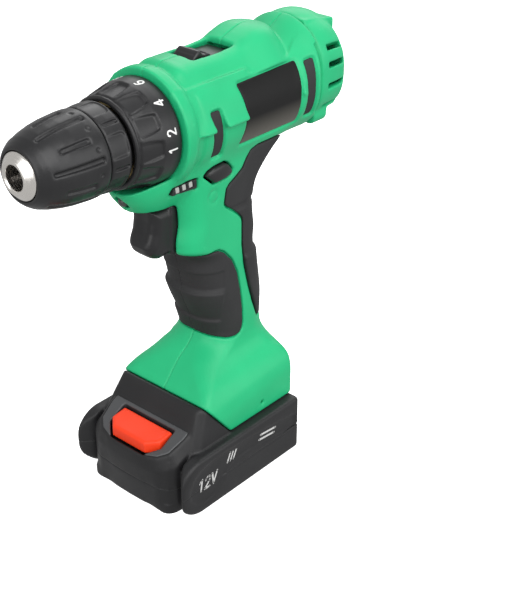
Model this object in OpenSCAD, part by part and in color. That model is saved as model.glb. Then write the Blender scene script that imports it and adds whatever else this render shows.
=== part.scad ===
// Compact 12 V cordless drill driver.
// Millimetres. +X points out of the chuck, +Y to the left of the user, +Z up.
// The origin is the centre of the battery's footprint, on the surface it stands on.

/* [Layout] */
// Height of the spindle axis above the floor
axis_z = 179.4; // [176:0.2:186]
// Wall thickness of the housing
wall = 2.5; // [2.2:0.1:2.6]
// Gap between pieces that slide or turn against each other
gap = 0.35; // [0.3:0.05:0.4]

/* [Head] */
// Radius of the barrel round the motor
barrel_r = 24.3; // [24:0.1:25]
// How far the top of the barrel is raised above a true circle
barrel_rise = 4; // [2:0.5:5]
// Radius of the flared ring behind the torque collar
nose_ring_r = 26.2; // [25.5:0.1:27]
// Front face of the nose ring
nose_front_x = 20.2; // [20:0.1:20.4]
// Joint between the housing halves and the rear cap
rear_seam_x = -69.2; // [-70:0.1:-69]
// Length of the rear cap
rear_cap_l = 21.5; // [20:0.5:24]
// Height of the roof's dome above the axis
dome_h = 29.8; // [29.2:0.2:30.4]
// Height of the roof round the speed slider above the axis
roof_h = 26.4; // [26.2:0.1:26.8]

/* [Handle and foot] */
// Half of the handle's width
handle_half_w = 17.2; // [16.8:0.1:18]
// Thickness of the soft overmould on the handle
rubber_t = 1.4; // [1.2:0.1:1.5]
// Half of the foot's width
foot_half_w = 30.5; // [30:0.1:31]
// Rear face of the foot
foot_rear_x = -43.3; // [-43.6:0.1:-43]
// Front edge of the foot's top
foot_front_x = 15.4; // [15:0.1:16]

/* [Battery] */
// Length of the battery
battery_l = 83.5; // [82:0.5:86]
// Width of the battery
battery_w = 72; // [70:1:74]
// Height of the deck on which the foot sits
deck_z = 29.8; // [29.4:0.1:30]
// Height of the hump in front of the foot
hump_z = 47.7; // [47:0.1:48]
// Diameter of a cell
cell_d = 18.2; // [18:0.1:18.4]
// Length of a cell
cell_l = 65; // [64:0.5:66]

/* [Motor and gears] */
// Outer radius of the motor can
motor_r = 17.8; // [17:0.1:18]
// Length of the motor can
motor_l = 48; // [44:1:49]
// Gear module of both stages
gear_module = 0.75; // [0.74:0.01:0.76]
// Teeth on each sun gear
sun_teeth = 12; // [12:1:12]
// Teeth on each planet gear
planet_teeth = 15; // [15:1:15]
// Thickness left out of each tooth so that the gears run free
backlash = 0.22; // [0.18:0.01:0.3]

/* [Torque collar] */
// Radius of the collar at its rear rim
collar_r = 22.9; // [22.7:0.1:23]
// Length of the collar
collar_l = 22.2; // [21.8:0.1:22.6]

/* [Chuck] */
// Largest shank that the chuck takes
chuck_capacity = 10; // [9.5:0.1:10]
// Front face of the chuck's nose
chuck_front_x = 88.9; // [88:0.1:90]
// Widest radius of the chuck's sleeves
sleeve_r = 18.8; // [18:0.1:19]
// Angle between each jaw and the axis
jaw_angle = 20; // [19.5:0.1:20.5]
// Diameter of each jaw
jaw_d = 5; // [4.8:0.1:5]

/* [Controls] */
// Travel of the trigger
trigger_travel = 6; // [5:0.5:6]
// Travel of the direction bar each way
direction_travel = 2.5; // [2:0.1:3]
// Height of the speed slider's plate above the axis
slider_plate_h = 23.6; // [23.4:0.1:23.8]
// Travel of the battery latch
latch_travel = 2.6; // [2.4:0.1:2.8]

/* [Hidden] */

$fn = 64;
tiny = 0.01;
big = 200;
housing_green = [0.20, 0.80, 0.55];
soft_black = [0.17, 0.17, 0.17];
hard_black = [0.13, 0.13, 0.14];
latch_orange = [0.94, 0.33, 0.20];
bright_steel = [0.78, 0.77, 0.75];
dark_steel = [0.45, 0.45, 0.47];
brass_yellow = [0.80, 0.65, 0.30];
copper_red = [0.80, 0.45, 0.30];
board_green = [0.10, 0.35, 0.22];

// Gear sizes that follow from the module and the tooth counts
ring_teeth = sun_teeth + 2 * planet_teeth;
centre_r = gear_module * (sun_teeth + planet_teeth) / 2;
pressure_angle = 20;
// Stations of the gear train along the axis
plate_x = -16;
gears_1_x = -12.6;
gears_1_l = 6;
carrier_1_x = -5.5;
carrier_t = 3;
gears_2_x = -1.6;
gears_2_l = 8.2;
shift_ring_x = -1;
shift_ring_l = 8.6;
dog_count = 24;
dog_l = 1.7;
// second-stage planets start in front of the dogs
planets_2_x = shift_ring_x + dog_l + 0.35;
carrier_2_x = 8;
case_front_x = 20;
case_tube_x = 38;
case_r = 19.6;
case_tube_r = 13;
spindle_r = 6;
chuck_rear_x = 43.4;
collar_front_x = nose_front_x + gap + collar_l;
sleeve_split_x = 54.6;
trigger_back_x = 6.4;
jaw_open_r = chuck_capacity / 2 + 0.3;
jaw_exit_r = 0.6;
jaw_l = 21;
jaw_back = 14;
mouth_r = chuck_capacity / 2 + 0.2;
mouth_l = 27;
nut_x = 63.2;
nut_l = 7.6;
bat_x = battery_l / 2;
bat_y = battery_w / 2;
ear_r = deck_z / 2;
ear_w = 9;
shell_t = 1.8;
split_z = 14;
// The foot's front face leans back by this much for each millimetre down
seam_lean = 0.774;
platform_z = 43.8;
latch_plate_z = 28.4;
platform_half_w = 25.6;
neck_half_w = 22.6;
rail_z = 34;

// ---------------------------------------------------------------- helpers

// Puts children drawn along +Z onto the spindle axis, starting at x
module on_axis(x = 0) {
    translate([x, 0, axis_z]) rotate([0, 90, 0]) children();
}

// Solid of revolution round the spindle axis; points are [radius, x]
module turned(points) {
    on_axis() rotate_extrude() polygon(points);
}

// Tube round the spindle axis
module tube_x(x, l, r_out, r_in) {
    on_axis(x) difference() {
        cylinder(h = l, r = r_out);
        translate([0, 0, -tiny]) cylinder(h = l + 2 * tiny, r = r_in);
    }
}

// Block given by its lowest and highest corner
module block(low, high) {
    translate(low) cube(high - low);
}

// Side outline, points [x, z], extruded across Y from y0 to y1
module side_plate(points, y0, y1) {
    translate([0, y1, 0]) rotate([90, 0, 0]) linear_extrude(y1 - y0) polygon(points);
}

// Oval slice of the handle
module slice(z, x, a, b) {
    translate([x, 0, z]) scale([a, b, 1]) cylinder(h = 0.2, r = 1, $fn = 32);
}

// Outline of the barrel: a circle stretched upwards, drawn in the plane across the axis
module barrel_outline(r, rise) {
    circle(r);
    if (rise > 0) {
        translate([-rise, 0]) circle(r);
        translate([-rise, -r]) square([rise, 2 * r]);
    }
}

module barrel(x0, x1, r, rise = barrel_rise) {
    on_axis(x0) linear_extrude(x1 - x0) barrel_outline(r, rise);
}

// Straight round wire between two points
module rod(p, q, r) {
    d = q - p;
    l = norm(d);
    translate(p) rotate([0, acos(d[2] / l), atan2(d[1], d[0])]) cylinder(h = l, r = r);
}

function unit(v) = v / norm(v);

// Insulated wire swept through a list of points, with mitred corners
module wire(points, r, sides = 8) {
    last = len(points) - 1;
    rings = [
        for (i = [0 : last], k = [0 : sides - 1])
            let (
                t = unit(points[min(i + 1, last)] - points[max(i - 1, 0)]),
                u = unit(cross([0, 1, 0], t)),
                v = cross(t, u),
                a = 360 * k / sides
            )
            points[i] + r * (cos(a) * u + sin(a) * v)
    ];
    skin = [
        for (i = [0 : last - 1], k = [0 : sides - 1])
            let (n = (k + 1) % sides)
            [i * sides + k, (i + 1) * sides + k, (i + 1) * sides + n, i * sides + n]
    ];
    ends = [
        [for (k = [0 : sides - 1]) k],
        [for (k = [sides - 1 : -1 : 0]) last * sides + k]
    ];
    polyhedron(rings, concat(skin, ends));
}

// Helical spring along +Z
module helix_spring(r, wire_r, pitch, turns, sides = 6, steps = 16) {
    rings = turns * steps;
    points = [
        for (i = [0 : rings], k = [0 : sides - 1])
            let (a = 360 * i / steps, b = 360 * k / sides, q = r + wire_r * cos(b))
            [q * cos(a), q * sin(a), pitch * i / steps + wire_r * sin(b)]
    ];
    skin = [
        for (i = [0 : rings - 1], k = [0 : sides - 1])
            let (n = (k + 1) % sides)
            [i * sides + k, (i + 1) * sides + k, (i + 1) * sides + n, i * sides + n]
    ];
    ends = [
        [for (k = [0 : sides - 1]) k],
        [for (k = [sides - 1 : -1 : 0]) rings * sides + k]
    ];
    polyhedron(points, concat(skin, ends));
}

// ---------------------------------------------------------------- gears

function involute(rb, r) = let (c = rb / r) tan(acos(c)) * 180 / PI - acos(c);

// Half of a tooth's angle at radius r, for a gear with n teeth; play thins the tooth
function half_tooth(n, r, play) =
    let (rp = gear_module * n / 2, rb = rp * cos(pressure_angle))
    90 / n - play * 90 / (PI * rp)
    + involute(rb, rp) - involute(rb, max(r, rb));

// Outline of a gear with n teeth between a root and a tip radius
function gear_points(n, root, tip, play) = [
    for (i = [0 : n - 1], s = [-1, 1], k = [0 : 2])
        let (
            t = s < 0 ? k : 2 - k,
            r = root + (tip - root) * t / 2,
            a = 360 * i / n + s * half_tooth(n, r, play)
        )
        [r * cos(a), r * sin(a)]
];

module outer_gear(n, l, turn = 0) {
    rp = gear_module * n / 2;
    rotate(turn) linear_extrude(l)
        polygon(gear_points(n, rp - 1.15 * gear_module, rp + 0.9 * gear_module, backlash));
}

// Toothed hole of an internal gear
module inner_teeth(n, l) {
    rp = gear_module * n / 2;
    linear_extrude(l)
        polygon(gear_points(n, rp - 0.8 * gear_module, rp + 1.15 * gear_module, -backlash / 2));
}

// ---------------------------------------------------------------- housing

module head_outer() {
    barrel(rear_seam_x, 10, barrel_r, 0);
    on_axis(rear_seam_x) translate([-barrel_rise, 0, 0]) cylinder(h = 10, r = barrel_r - 0.1);
    barrel(10, nose_front_x, barrel_r + 1.2, 0);
    tube_x(13.5, nose_front_x - 13.5, nose_ring_r, 20);
    on_axis(-58) linear_extrude(69.5)
        polygon([[0, -15], [-18, -15], [-roof_h, -12], [-roof_h, 12], [-18, 15], [0, 15]]);
    side_plate([[-28, axis_z + 20], [-28, axis_z + roof_h], [-34, axis_z + dome_h - 1],
                [-40, axis_z + dome_h], [-47, axis_z + dome_h], [-58, axis_z + roof_h + 0.6],
                [-58, axis_z + 20]], -10.5, 10.5);
}

module nose_outer() {
    side_plate(
        [[-12, axis_z - 20], [-12, 139], [20, 138.6], [28, 141.5], [34, 146.5], [36, 151],
         [35, 156], [22, 164], [10, axis_z - 10]], -14.5, 14.5);
}

module handle_outer(grow = 0) {
    hull() {
        slice(60, -23.7, 20.5 + grow, handle_half_w + grow);
        slice(90, -19.6, 23.4 + grow, handle_half_w + grow);
    }
    hull() {
        slice(90, -19.6, 23.4 + grow, handle_half_w + grow);
        slice(135, -13.5, 22.5 + grow, handle_half_w + grow);
    }
    hull() {
        slice(135, -13.5, 22.5 + grow, handle_half_w + grow);
        slice(160, -19, 36 + grow, handle_half_w + 1 + grow);
    }
}

module foot_outer() {
    intersection() {
        hull() {
            block([foot_rear_x + 0.5, -foot_half_w, deck_z + gap], [20, foot_half_w, 41]);
            block([foot_rear_x + 3, -27.5, 41], [-14, 27.5, 53]);
            block([-14, -26.8, 41], [foot_front_x, 26.8, hump_z]);
            slice(64, -23.7, 21, handle_half_w + 0.6);
        }
        foot_side(0);
    }
}

// Everything behind the leaning face that parts the foot from the hump
module foot_side(offset_x) {
    lean = seam_lean * 40;
    x_top = foot_front_x + offset_x + seam_lean * 22.3;
    side_plate([[-60, hump_z + 22.3], [x_top, hump_z + 22.3], [x_top - lean - 9.5, 19],
                [-60, 19]], -50, 50);
}

module head_cavity() {
    on_axis(rear_seam_x - 1) cylinder(h = plate_x - rear_seam_x + 1, r = barrel_r - wall);
    on_axis(plate_x - 2) cylinder(h = 60, r = case_r + 0.15);
    // room for the shift fork
    on_axis(-6) cylinder(h = 12, r = 22);
    on_axis(nose_front_x) cylinder(h = 40, r = collar_r + 0.6);
}

module handle_cavity() {
    hull() {
        slice(50, -23.7, 17, 14.2);
        slice(90, -19.6, 20.4, 14.2);
    }
    hull() {
        slice(90, -19.6, 20.4, 14.2);
        slice(135, -13.5, 19.5, 14.2);
    }
    hull() {
        slice(135, -13.5, 19.5, 14.2);
        slice(160, -19, 33, 14.2);
    }
}

// Space in the foot for the battery's platform, rails and latch bar
module foot_cavity() {
    block([-40.8, -platform_half_w - gap, rail_z], [30, platform_half_w + gap, platform_z + gap]);
    block([-40.8, -neck_half_w - gap, deck_z - 1], [30, neck_half_w + gap, rail_z + tiny]);
    block([4.6, -14, platform_z], [9.6, 14, 48]);
    block([-38, -17, platform_z], [-6, 17, 52]);
}

// Pocket from which the trigger slides, and the shaft slot behind it
module trigger_space() {
    block([trigger_back_x - trigger_travel - 0.4, -9.4, 119.4], [40, 9.4, 138.7]);
    block([-11, -5, 124], [5, 5, 134]);
}

module control_spaces() {
    // direction bar
    translate([-6.5, -30, 156]) rotate([-90, 0, 0]) linear_extrude(60) button_outline(gap);
    // charge gauge
    side_plate([[5.7, 151.6], [22, 151.6], [23.4, 157.4], [7.1, 157.4]], 12.7, 30);
    // work light
    translate([26, 0, 151]) rotate([0, 90, 0]) cylinder(h = 20, r = 2.8);
    // speed slider's window, and the slot of its plate
    block([-26.4, -6.8, axis_z + 20], [-2, 6.8, axis_z + 40]);
    block([-31, -8, axis_z + 20], [2.5, 8, axis_z + slider_plate_h + 0.3]);
}

module button_outline(grow = 0) {
    polygon([[-8.4 - grow, 1.2], [-6 - grow, -3.6 - grow], [3.4 + grow, -4 - grow],
             [8.4 + grow, -1.2], [6 + grow, 3.6 + grow], [-3.4 - grow, 4 + grow]]);
}

// Side recesses for the vent inserts and the label
module flank_recesses(side) {
    for (x = [-4.6, -63]) translate([x, 0, 0]) flank_ring(4.6, -36, 22, barrel_r - 1, 3, side);
    flank_ring(37, -31, 35, barrel_r - 0.8, 3, side, -53.2);
}

// Part of a tube over an angle, on one flank: l long from x0
module flank_ring(l, a0, a1, r, t, side, x0 = 0) {
    on_axis(x0) difference() {
        intersection() {
            cylinder(h = l, r = r + t);
            linear_extrude(l) polygon([
                [0, 0],
                [-60 * sin(a0), side * 60 * cos(a0)],
                [-60 * sin((a0 + a1) / 2), side * 90 * cos((a0 + a1) / 2)],
                [-60 * sin(a1), side * 60 * cos(a1)]
            ]);
        }
        translate([0, 0, -1]) cylinder(h = l + 2, r = r);
    }
}

// Where the two halves are screwed together: [x, z]
screw_spots = [[-44, 201.5], [14, 146], [-26.5, 78], [-8, 60], [-36.5, 57.5]];
// Where the rear cap is screwed on: [y, z]
cap_screw_spots = [[-14.8, axis_z + 18.2], [14.8, axis_z - 16.6]];

module housing_half(side) {
    $fn = 42;
    difference() {
        union() {
            difference() {
                union() {
                    head_outer();
                    nose_outer();
                    handle_outer();
                    foot_outer();
                }
                head_cavity();
                handle_cavity();
            }
            bulkheads();
        }
        foot_cavity();
        trigger_space();
        control_spaces();
        flank_recesses(1);
        flank_recesses(-1);
        grip_zone(0);
        screw_holes();
        // the other half
        block([-big, side > 0 ? -big : 0, -1], [big, side > 0 ? 0 : big, 2 * big]);
    }
}

// Ribs that hold the motor, and bosses for the screws
module bulkheads() {
    for (x = [-60, -26]) tube_x(x, 2.2, barrel_r - 1, motor_r + 0.15);
    for (p = screw_spots)
        translate([p[0], -13, p[1]]) rotate([-90, 0, 0]) cylinder(h = 26, r = 3);
}

module screw_holes() {
    for (p = screw_spots) {
        translate([p[0], -14, p[1]]) rotate([-90, 0, 0]) cylinder(h = 24, r = 1.3);
        translate([p[0], -40, p[1]]) rotate([-90, 0, 0]) cylinder(h = 29, r = 2.8);
    }
    for (p = cap_screw_spots)
        translate([rear_seam_x - 1, p[0], p[1]]) rotate([0, 90, 0]) cylinder(h = 9, r = 1.35);
}

// Region of the soft overmould: front panel under the trigger, and back spine
module grip_zone(inset) {
    difference() {
        union() {
            side_plate([[40, 118 - inset], [3, 118 - inset], [-7 + inset, 116 - inset],
                        [-16 + inset, 107], [-21 + inset, 88], [-21 + inset, 74],
                        [-16 + inset, 67.5 + inset], [40, 67.5 + inset]], -40, 40);
            side_plate([[-66, 159 - inset], [-27 - inset, 159 - inset], [-20 - inset, 152],
                        [-12.5 - inset, 147], [-12.5 - inset, 139], [-24 - inset, 130],
                        [-24 - inset, 112], [-32 - inset, 76 + inset], [-66, 76 + inset]], -40, 40);
        }
        handle_outer(-rubber_t);
        on_axis(-100) cylinder(h = 160, r = barrel_r + gap);
        block([-100, -50, axis_z], [100, 50, 2 * axis_z]);
    }
}

module grip_skin(front, side) {
    intersection() {
        difference() {
            intersection() {
                grip_zone(0.15);
                handle_outer(0);
            }
            screw_holes();
        }
        block(front ? [-24, side > 0 ? 0 : -40, 60] : [-80, side > 0 ? 0 : -40, 60],
              front ? [40, side > 0 ? 40 : 0, 119] : [-22, side > 0 ? 40 : 0, 170]);
    }
}

module back_skin(side) {
    intersection() {
        difference() {
            intersection() {
                grip_zone(0.15);
                handle_outer(0);
            }
            screw_holes();
            block([-24.5, -40, 50], [40, 40, 125]);
        }
        block([-80, side > 0 ? 0 : -40, 60], [0, side > 0 ? 40 : 0, 170]);
    }
}

module housing_left() {
    color(housing_green) housing_half(1);
}

module housing_right() {
    color(housing_green) housing_half(-1);
}

module front_grip_left() {
    color(soft_black) grip_skin(true, 1);
}

module front_grip_right() {
    color(soft_black) grip_skin(true, -1);
}

module back_grip_left() {
    color(soft_black) back_skin(1);
}

module back_grip_right() {
    color(soft_black) back_skin(-1);
}

module side_inserts() {
    color(hard_black) for (side = [-1, 1], x = [-4.4, -62.8])
        flank_ring(4.2, -35.5, 21.5, barrel_r - 0.95, 1.15, side, x);
}

module side_labels() {
    color(hard_black) for (side = [-1, 1])
        flank_ring(36.6, -30.5, 34.5, barrel_r - 0.75, 0.9, side, -53);
}

module rear_cap() {
    color(housing_green) difference() {
        union() {
            hull() {
                barrel(rear_seam_x - 15, rear_seam_x - 0.3, barrel_r - 1.9);
                barrel(rear_seam_x - rear_cap_l, rear_seam_x - rear_cap_l + 1, barrel_r - 7, 3);
            }
            for (p = cap_screw_spots)
                translate([rear_seam_x - 0.3, p[0], p[1]]) rotate([0, -90, 0])
                    cylinder(h = 10, r = 3.7);
        }
        on_axis(rear_seam_x - rear_cap_l + wall) cylinder(h = 30, r = barrel_r - 5.5);
        // slots that let the motor breathe
        for (a = [-38 : 19 : 38], side = [-1, 1])
            translate([rear_seam_x - 18, 0, axis_z]) rotate([side * a, 0, 0])
                translate([0, side > 0 ? 10 : -30, -1.1]) cube([9, 20, 2.2]);
        for (p = cap_screw_spots) translate([rear_seam_x, p[0], p[1]]) rotate([0, -90, 0]) {
            translate([0, 0, -5]) cylinder(h = 40, r = 1.35);
            translate([0, 0, 8]) cylinder(h = 30, r = 2.7);
        }
    }
}

// One pan-head screw pointing along +Z, its head's top at z = 0 and its shank below it
module screw(l, r, head_r, head_h) {
    difference() {
        union() {
            translate([0, 0, -head_h]) cylinder(h = head_h, r = head_r);
            translate([0, 0, -l]) cylinder(h = l, r = r);
        }
        for (a = [0, 90]) rotate(a)
            translate([-head_r * 0.6, -0.35, -head_h * 0.6]) cube([head_r * 1.2, 0.7, head_h]);
    }
}

module case_screws() {
    color(dark_steel) {
        for (p = screw_spots)
            translate([p[0], -13.4, p[1]]) rotate([90, 0, 0])
                translate([0, 0, -0.4]) screw(18, 1.25, 2.5, 1.8);
        for (p = cap_screw_spots)
            translate([rear_seam_x - 9.8, p[0], p[1]]) rotate([0, -90, 0])
                screw(16, 1.25, 2.5, 1.8);
    }
}

// ---------------------------------------------------------------- motor

motor_x = plate_x - motor_l;

module motor_can() {
    color(bright_steel) difference() {
        union() {
            on_axis(motor_x) cylinder(h = motor_l, r = motor_r);
            on_axis(motor_x + motor_l - tiny) cylinder(h = 1.9, r = 4.4);
        }
        on_axis(motor_x - 1) cylinder(h = motor_l - 0.6, r = motor_r - 1.4);
        on_axis(motor_x) cylinder(h = motor_l + 10, r = 1.65);
        for (a = [0 : 120 : 359]) on_axis(plate_x - 6) rotate(a)
            translate([12.2, 0, 0]) cylinder(h = 10, r = 1.5);
    }
}

module motor_magnets() {
    color(dark_steel) for (side = [-1, 1]) on_axis(motor_x + 8) intersection() {
        difference() {
            cylinder(h = 32, r = motor_r - 1.5);
            translate([0, 0, -1]) cylinder(h = 34, r = 12.6);
        }
        translate([-11, side > 0 ? 6 : -30, 0]) cube([22, 24, 32]);
    }
}

module motor_endcap() {
    color(hard_black) difference() {
        union() {
            on_axis(motor_x - 3.2) cylinder(h = 3.1, r = motor_r - 0.3);
            on_axis(motor_x - 0.2) cylinder(h = 4, r = motor_r - 1.5);
        }
        on_axis(motor_x - 6) cylinder(h = 12, r = 1.65);
        on_axis(motor_x - 0.6) cylinder(h = 6, r = 13);
        for (a = [45 : 90 : 359]) on_axis(motor_x - 6) rotate(a)
            translate([11, 0, 0]) cylinder(h = 12, r = 2.4);
    }
}

module armature() {
    color(copper_red) union() {
        on_axis(motor_x - 4.4) cylinder(h = motor_l + 8.8, r = 1.6);
        on_axis(motor_x + 9) linear_extrude(30) armature_outline();
        on_axis(motor_x + 2) cylinder(h = 6, r = 5.5);
        on_axis(motor_x + 41) linear_extrude(3.4) fan_outline();
    }
}

// Laminated core with five wound poles
module armature_outline() {
    circle(4.5);
    for (a = [0 : 72 : 359]) rotate(a) {
        translate([0, -1.4]) square([9.6, 2.8]);
        intersection() {
            difference() {
                circle(12);
                circle(9.2);
            }
            translate([8, -5.6]) square([6, 11.2]);
        }
    }
}

module fan_outline() {
    circle(4);
    for (a = [0 : 30 : 359]) rotate(a) translate([0, -0.5]) square([12, 1]);
}

module pinion() {
    color(bright_steel) difference() {
        on_axis(gears_1_x) outer_gear(sun_teeth, gears_1_l);
        on_axis(gears_1_x - 1) cylinder(h = 10, r = 1.6);
    }
}

// ---------------------------------------------------------------- gearbox

module gearbox_plate() {
    color(dark_steel) difference() {
        on_axis(plate_x + 0.05) cylinder(h = 1.9, r = case_r);
        on_axis(plate_x - 1) cylinder(h = 5, r = 4.6);
        for (a = [0 : 120 : 359]) on_axis(plate_x - 1) rotate(a)
            translate([12.2, 0, 0]) cylinder(h = 5, r = 1.5);
    }
}

module gearbox_case() {
    color(hard_black) difference() {
        union() {
            on_axis(plate_x + 2) cylinder(h = case_front_x - plate_x - 2, r = case_r);
            on_axis(case_front_x - tiny) cylinder(h = case_tube_x - case_front_x, r = case_tube_r);
        }
        on_axis(plate_x + 1) cylinder(h = 31, r = case_r - 1.9);
        on_axis(0) cylinder(h = 60, r = spindle_r + 0.06);
        on_axis(case_tube_x - 5) cylinder(h = 20, r = 9.6);
        // six pockets for the clutch balls
        for (a = [0 : 60 : 359]) on_axis(10) rotate(a + 30)
            translate([15.6, 0, 0]) cylinder(h = 20, r = 1.7);
        // slots for the shift fork
        for (side = [-1, 1]) block([-6.6, side * 19 - 2, axis_z - 1.4], [6.6, side * 19 + 2, axis_z + 1.4]);
    }
}

module ring_gear() {
    color(dark_steel) difference() {
        on_axis(plate_x + 2.1) cylinder(h = 8, r = case_r - 1.95);
        on_axis(plate_x + 1) inner_teeth(ring_teeth, 12);
    }
}

module shift_ring() {
    color(dark_steel) difference() {
        on_axis(shift_ring_x) cylinder(h = shift_ring_l, r = case_r - 2.2);
        on_axis(shift_ring_x - 1) inner_teeth(ring_teeth, shift_ring_l + 2);
        // wide bore behind the teeth, for the dogs
        on_axis(shift_ring_x - 1) cylinder(h = dog_l + 1, r = 16.7);
        // groove for the shift fork
        on_axis(shift_ring_x + 3) difference() {
            cylinder(h = 1.6, r = case_r);
            translate([0, 0, -1]) cylinder(h = 4, r = case_r - 3);
        }
    }
    color(dark_steel) dogs(shift_ring_x + 0.1, 15.2, 17, 360 / dog_count / 2);
}

// Ring of dogs that lock the shift ring to the first carrier in high gear
module dogs(x, r_in, r_out, turn) {
    for (i = [0 : dog_count - 1]) on_axis(x) rotate(360 * i / dog_count + turn)
        translate([r_in, -0.8, 0]) cube([r_out - r_in, 1.6, dog_l - 0.2]);
}

module planet(x, l, place, turn) {
    color(bright_steel) on_axis(x) rotate(place) translate([centre_r, 0, 0]) difference() {
        outer_gear(planet_teeth, l, turn);
        translate([0, 0, -1]) cylinder(h = l + 2, r = 2.04);
    }
}

// A planet at angle place on its carrier: the turn that puts a tooth in each gap
// of the sun, whose first tooth points at angle 0
function planet_turn(place) =
    180 - 180 / planet_teeth + place * sun_teeth / planet_teeth;

module planet_1a() {
    planet(gears_1_x, gears_1_l, 0, planet_turn(0));
}

module planet_1b() {
    planet(gears_1_x, gears_1_l, 120, planet_turn(120));
}

module planet_1c() {
    planet(gears_1_x, gears_1_l, 240, planet_turn(240));
}

module planet_2a() {
    planet(planets_2_x, gears_2_x + gears_2_l - planets_2_x, 0, planet_turn(0));
}

module planet_2b() {
    planet(planets_2_x, gears_2_x + gears_2_l - planets_2_x, 120, planet_turn(120));
}

module planet_2c() {
    planet(planets_2_x, gears_2_x + gears_2_l - planets_2_x, 240, planet_turn(240));
}

module carrier_1() {
    color(dark_steel) union() {
        on_axis(carrier_1_x) cylinder(h = carrier_t, r = 14.9);
        dogs(carrier_1_x + 0.1, 14, 16.3, 0);
        on_axis(carrier_1_x + carrier_t - tiny)
            outer_gear(sun_teeth, gears_2_x + gears_2_l - carrier_1_x - carrier_t);
        for (a = [0 : 120 : 359]) on_axis(gears_1_x) rotate(a)
            translate([centre_r, 0, 0]) cylinder(h = 8, r = 2);
    }
}

module carrier_2() {
    color(dark_steel) difference() {
        union() {
            on_axis(carrier_2_x) cylinder(h = carrier_t, r = 14.6);
            for (a = [0 : 120 : 359]) on_axis(gears_2_x) rotate(a)
                translate([centre_r, 0, 0]) cylinder(h = 11, r = 2);
        }
        on_axis(0) cylinder(h = 30, r = 4);
    }
}

module spindle() {
    shoulder_x = chuck_rear_x + 1.1;
    color(bright_steel) difference() {
        union() {
            on_axis(carrier_2_x) cylinder(h = 4, r = 3.95);
            on_axis(carrier_2_x + carrier_t + 0.1)
                cylinder(h = shoulder_x - carrier_2_x - carrier_t - 0.1, r = spindle_r);
            on_axis(shoulder_x - tiny) cylinder(h = 10.5, r = 4.75);
        }
        on_axis(46) cylinder(h = 20, r = 2.05);
    }
}

module spindle_bearing() {
    color(bright_steel) difference() {
        on_axis(case_tube_x - 4.9) cylinder(h = 4.8, r = 9.55);
        on_axis(0) cylinder(h = 60, r = spindle_r + 0.06);
    }
}

module clutch_balls() {
    color(bright_steel) for (a = [0 : 60 : 359]) on_axis(18.3) rotate(a + 30)
        translate([15.6, 0, 0]) sphere(1.6);
}

module clutch_spring() {
    color(bright_steel) on_axis(case_front_x + 1) helix_spring(15.4, 0.8, 2.4, 4, 6, 20);
}

module clutch_nut() {
    color(brass_yellow) difference() {
        union() {
            tube_x(33, 3.4, 17.4, case_tube_r + 0.25);
            for (a = [45 : 90 : 359]) on_axis(33) rotate(a)
                translate([16.5, -1.4, 0]) cube([2.6, 2.8, 3.4]);
        }
    }
}

// The collar's outer profile: smooth number band at the rear, tapering grip in front
module torque_collar() {
    x0 = nose_front_x + gap;
    color(hard_black) difference() {
        turned([[17.9, x0], [collar_r, x0], [collar_r, x0 + 7.5], [collar_r - 1, x0 + 9],
                [collar_r - 2.2, x0 + collar_l - 2.4], [collar_r - 3.4, x0 + collar_l],
                [19.4, x0 + collar_l], [17.9, x0 + collar_l - 3]]);
        // key slots for the clutch nut
        for (a = [45 : 90 : 359]) on_axis(x0 + 5) rotate(a)
            translate([17, -1.5, 0]) cube([2.3, 3, 13]);
        // finger scallops
        for (a = [0 : 40 : 359]) on_axis(x0 + 9.5) rotate(a + 12)
            translate([collar_r + 2.4, 0, 0]) cylinder(h = 10, r = 4.2);
    }
}

module speed_selector() {
    top = axis_z + slider_plate_h;
    color(hard_black) union() {
        block([-26.6, -7.6, top - 1.5], [2.1, 7.6, top]);
        block([-14.6, -6.2, top - 0.1], [-3.4, 6.2, top + 3]);
        for (x = [-13.4, -10.6, -7.8, -5])
            block([x - 0.6, -6.2, top + 2.9], [x + 0.6, 6.2, top + 3.8]);
        block([-14, -2, axis_z + 20.1], [-10, 2, top - 1.4]);
    }
}

// Wire fork from the slider, round the gearbox case, into the shift ring's groove
module shift_fork() {
    x = shift_ring_x + 3.8;
    color(bright_steel) {
        on_axis(x - 0.7) intersection() {
            difference() {
                cylinder(h = 1.4, r = 21.4);
                translate([0, 0, -1]) cylinder(h = 4, r = 20);
            }
            translate([-30, -30, 0]) cube([30, 60, 3]);
        }
        for (side = [-1, 1]) rod([x, side * 16.9, axis_z], [x, side * 20.8, axis_z], 0.6);
        rod([-9.95, 0, axis_z + 20.8], [x, 0, axis_z + 20.8], 0.6);
    }
}

// ---------------------------------------------------------------- chuck

// Frame of one jaw: its +Z runs along the jaw, forwards and towards the spindle axis
module jaw_line(a) {
    on_axis(chuck_front_x) rotate(a) translate([jaw_exit_r, 0, 0])
        rotate([0, -jaw_angle, 0]) children();
}

// Channels in which the three jaws slide
module jaw_space(extra_r, back) {
    for (a = [0 : 120 : 359]) jaw_line(a + 30) translate([0, 0, -back])
        cylinder(h = back + 6, r = jaw_d / 2 + extra_r);
}

// Radius of the jaws' outer side at a station along the axis
function jaw_outer_r(x) =
    jaw_exit_r + (chuck_front_x - x) * tan(jaw_angle) + jaw_d / 2 / cos(jaw_angle);

module jaw(a) {
    color(dark_steel) intersection() {
        jaw_line(a) translate([0, 0, -jaw_back - jaw_l]) cylinder(h = jaw_l, r = jaw_d / 2);
        // three-sided gripping edge, parallel to the spindle
        on_axis(40) rotate(a) linear_extrude(60)
            polygon([[jaw_open_r, 0], [jaw_open_r + 14, -24], [jaw_open_r + 14, 24]]);
        on_axis(40) cylinder(h = 60, r = 13.5);
    }
}

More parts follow.
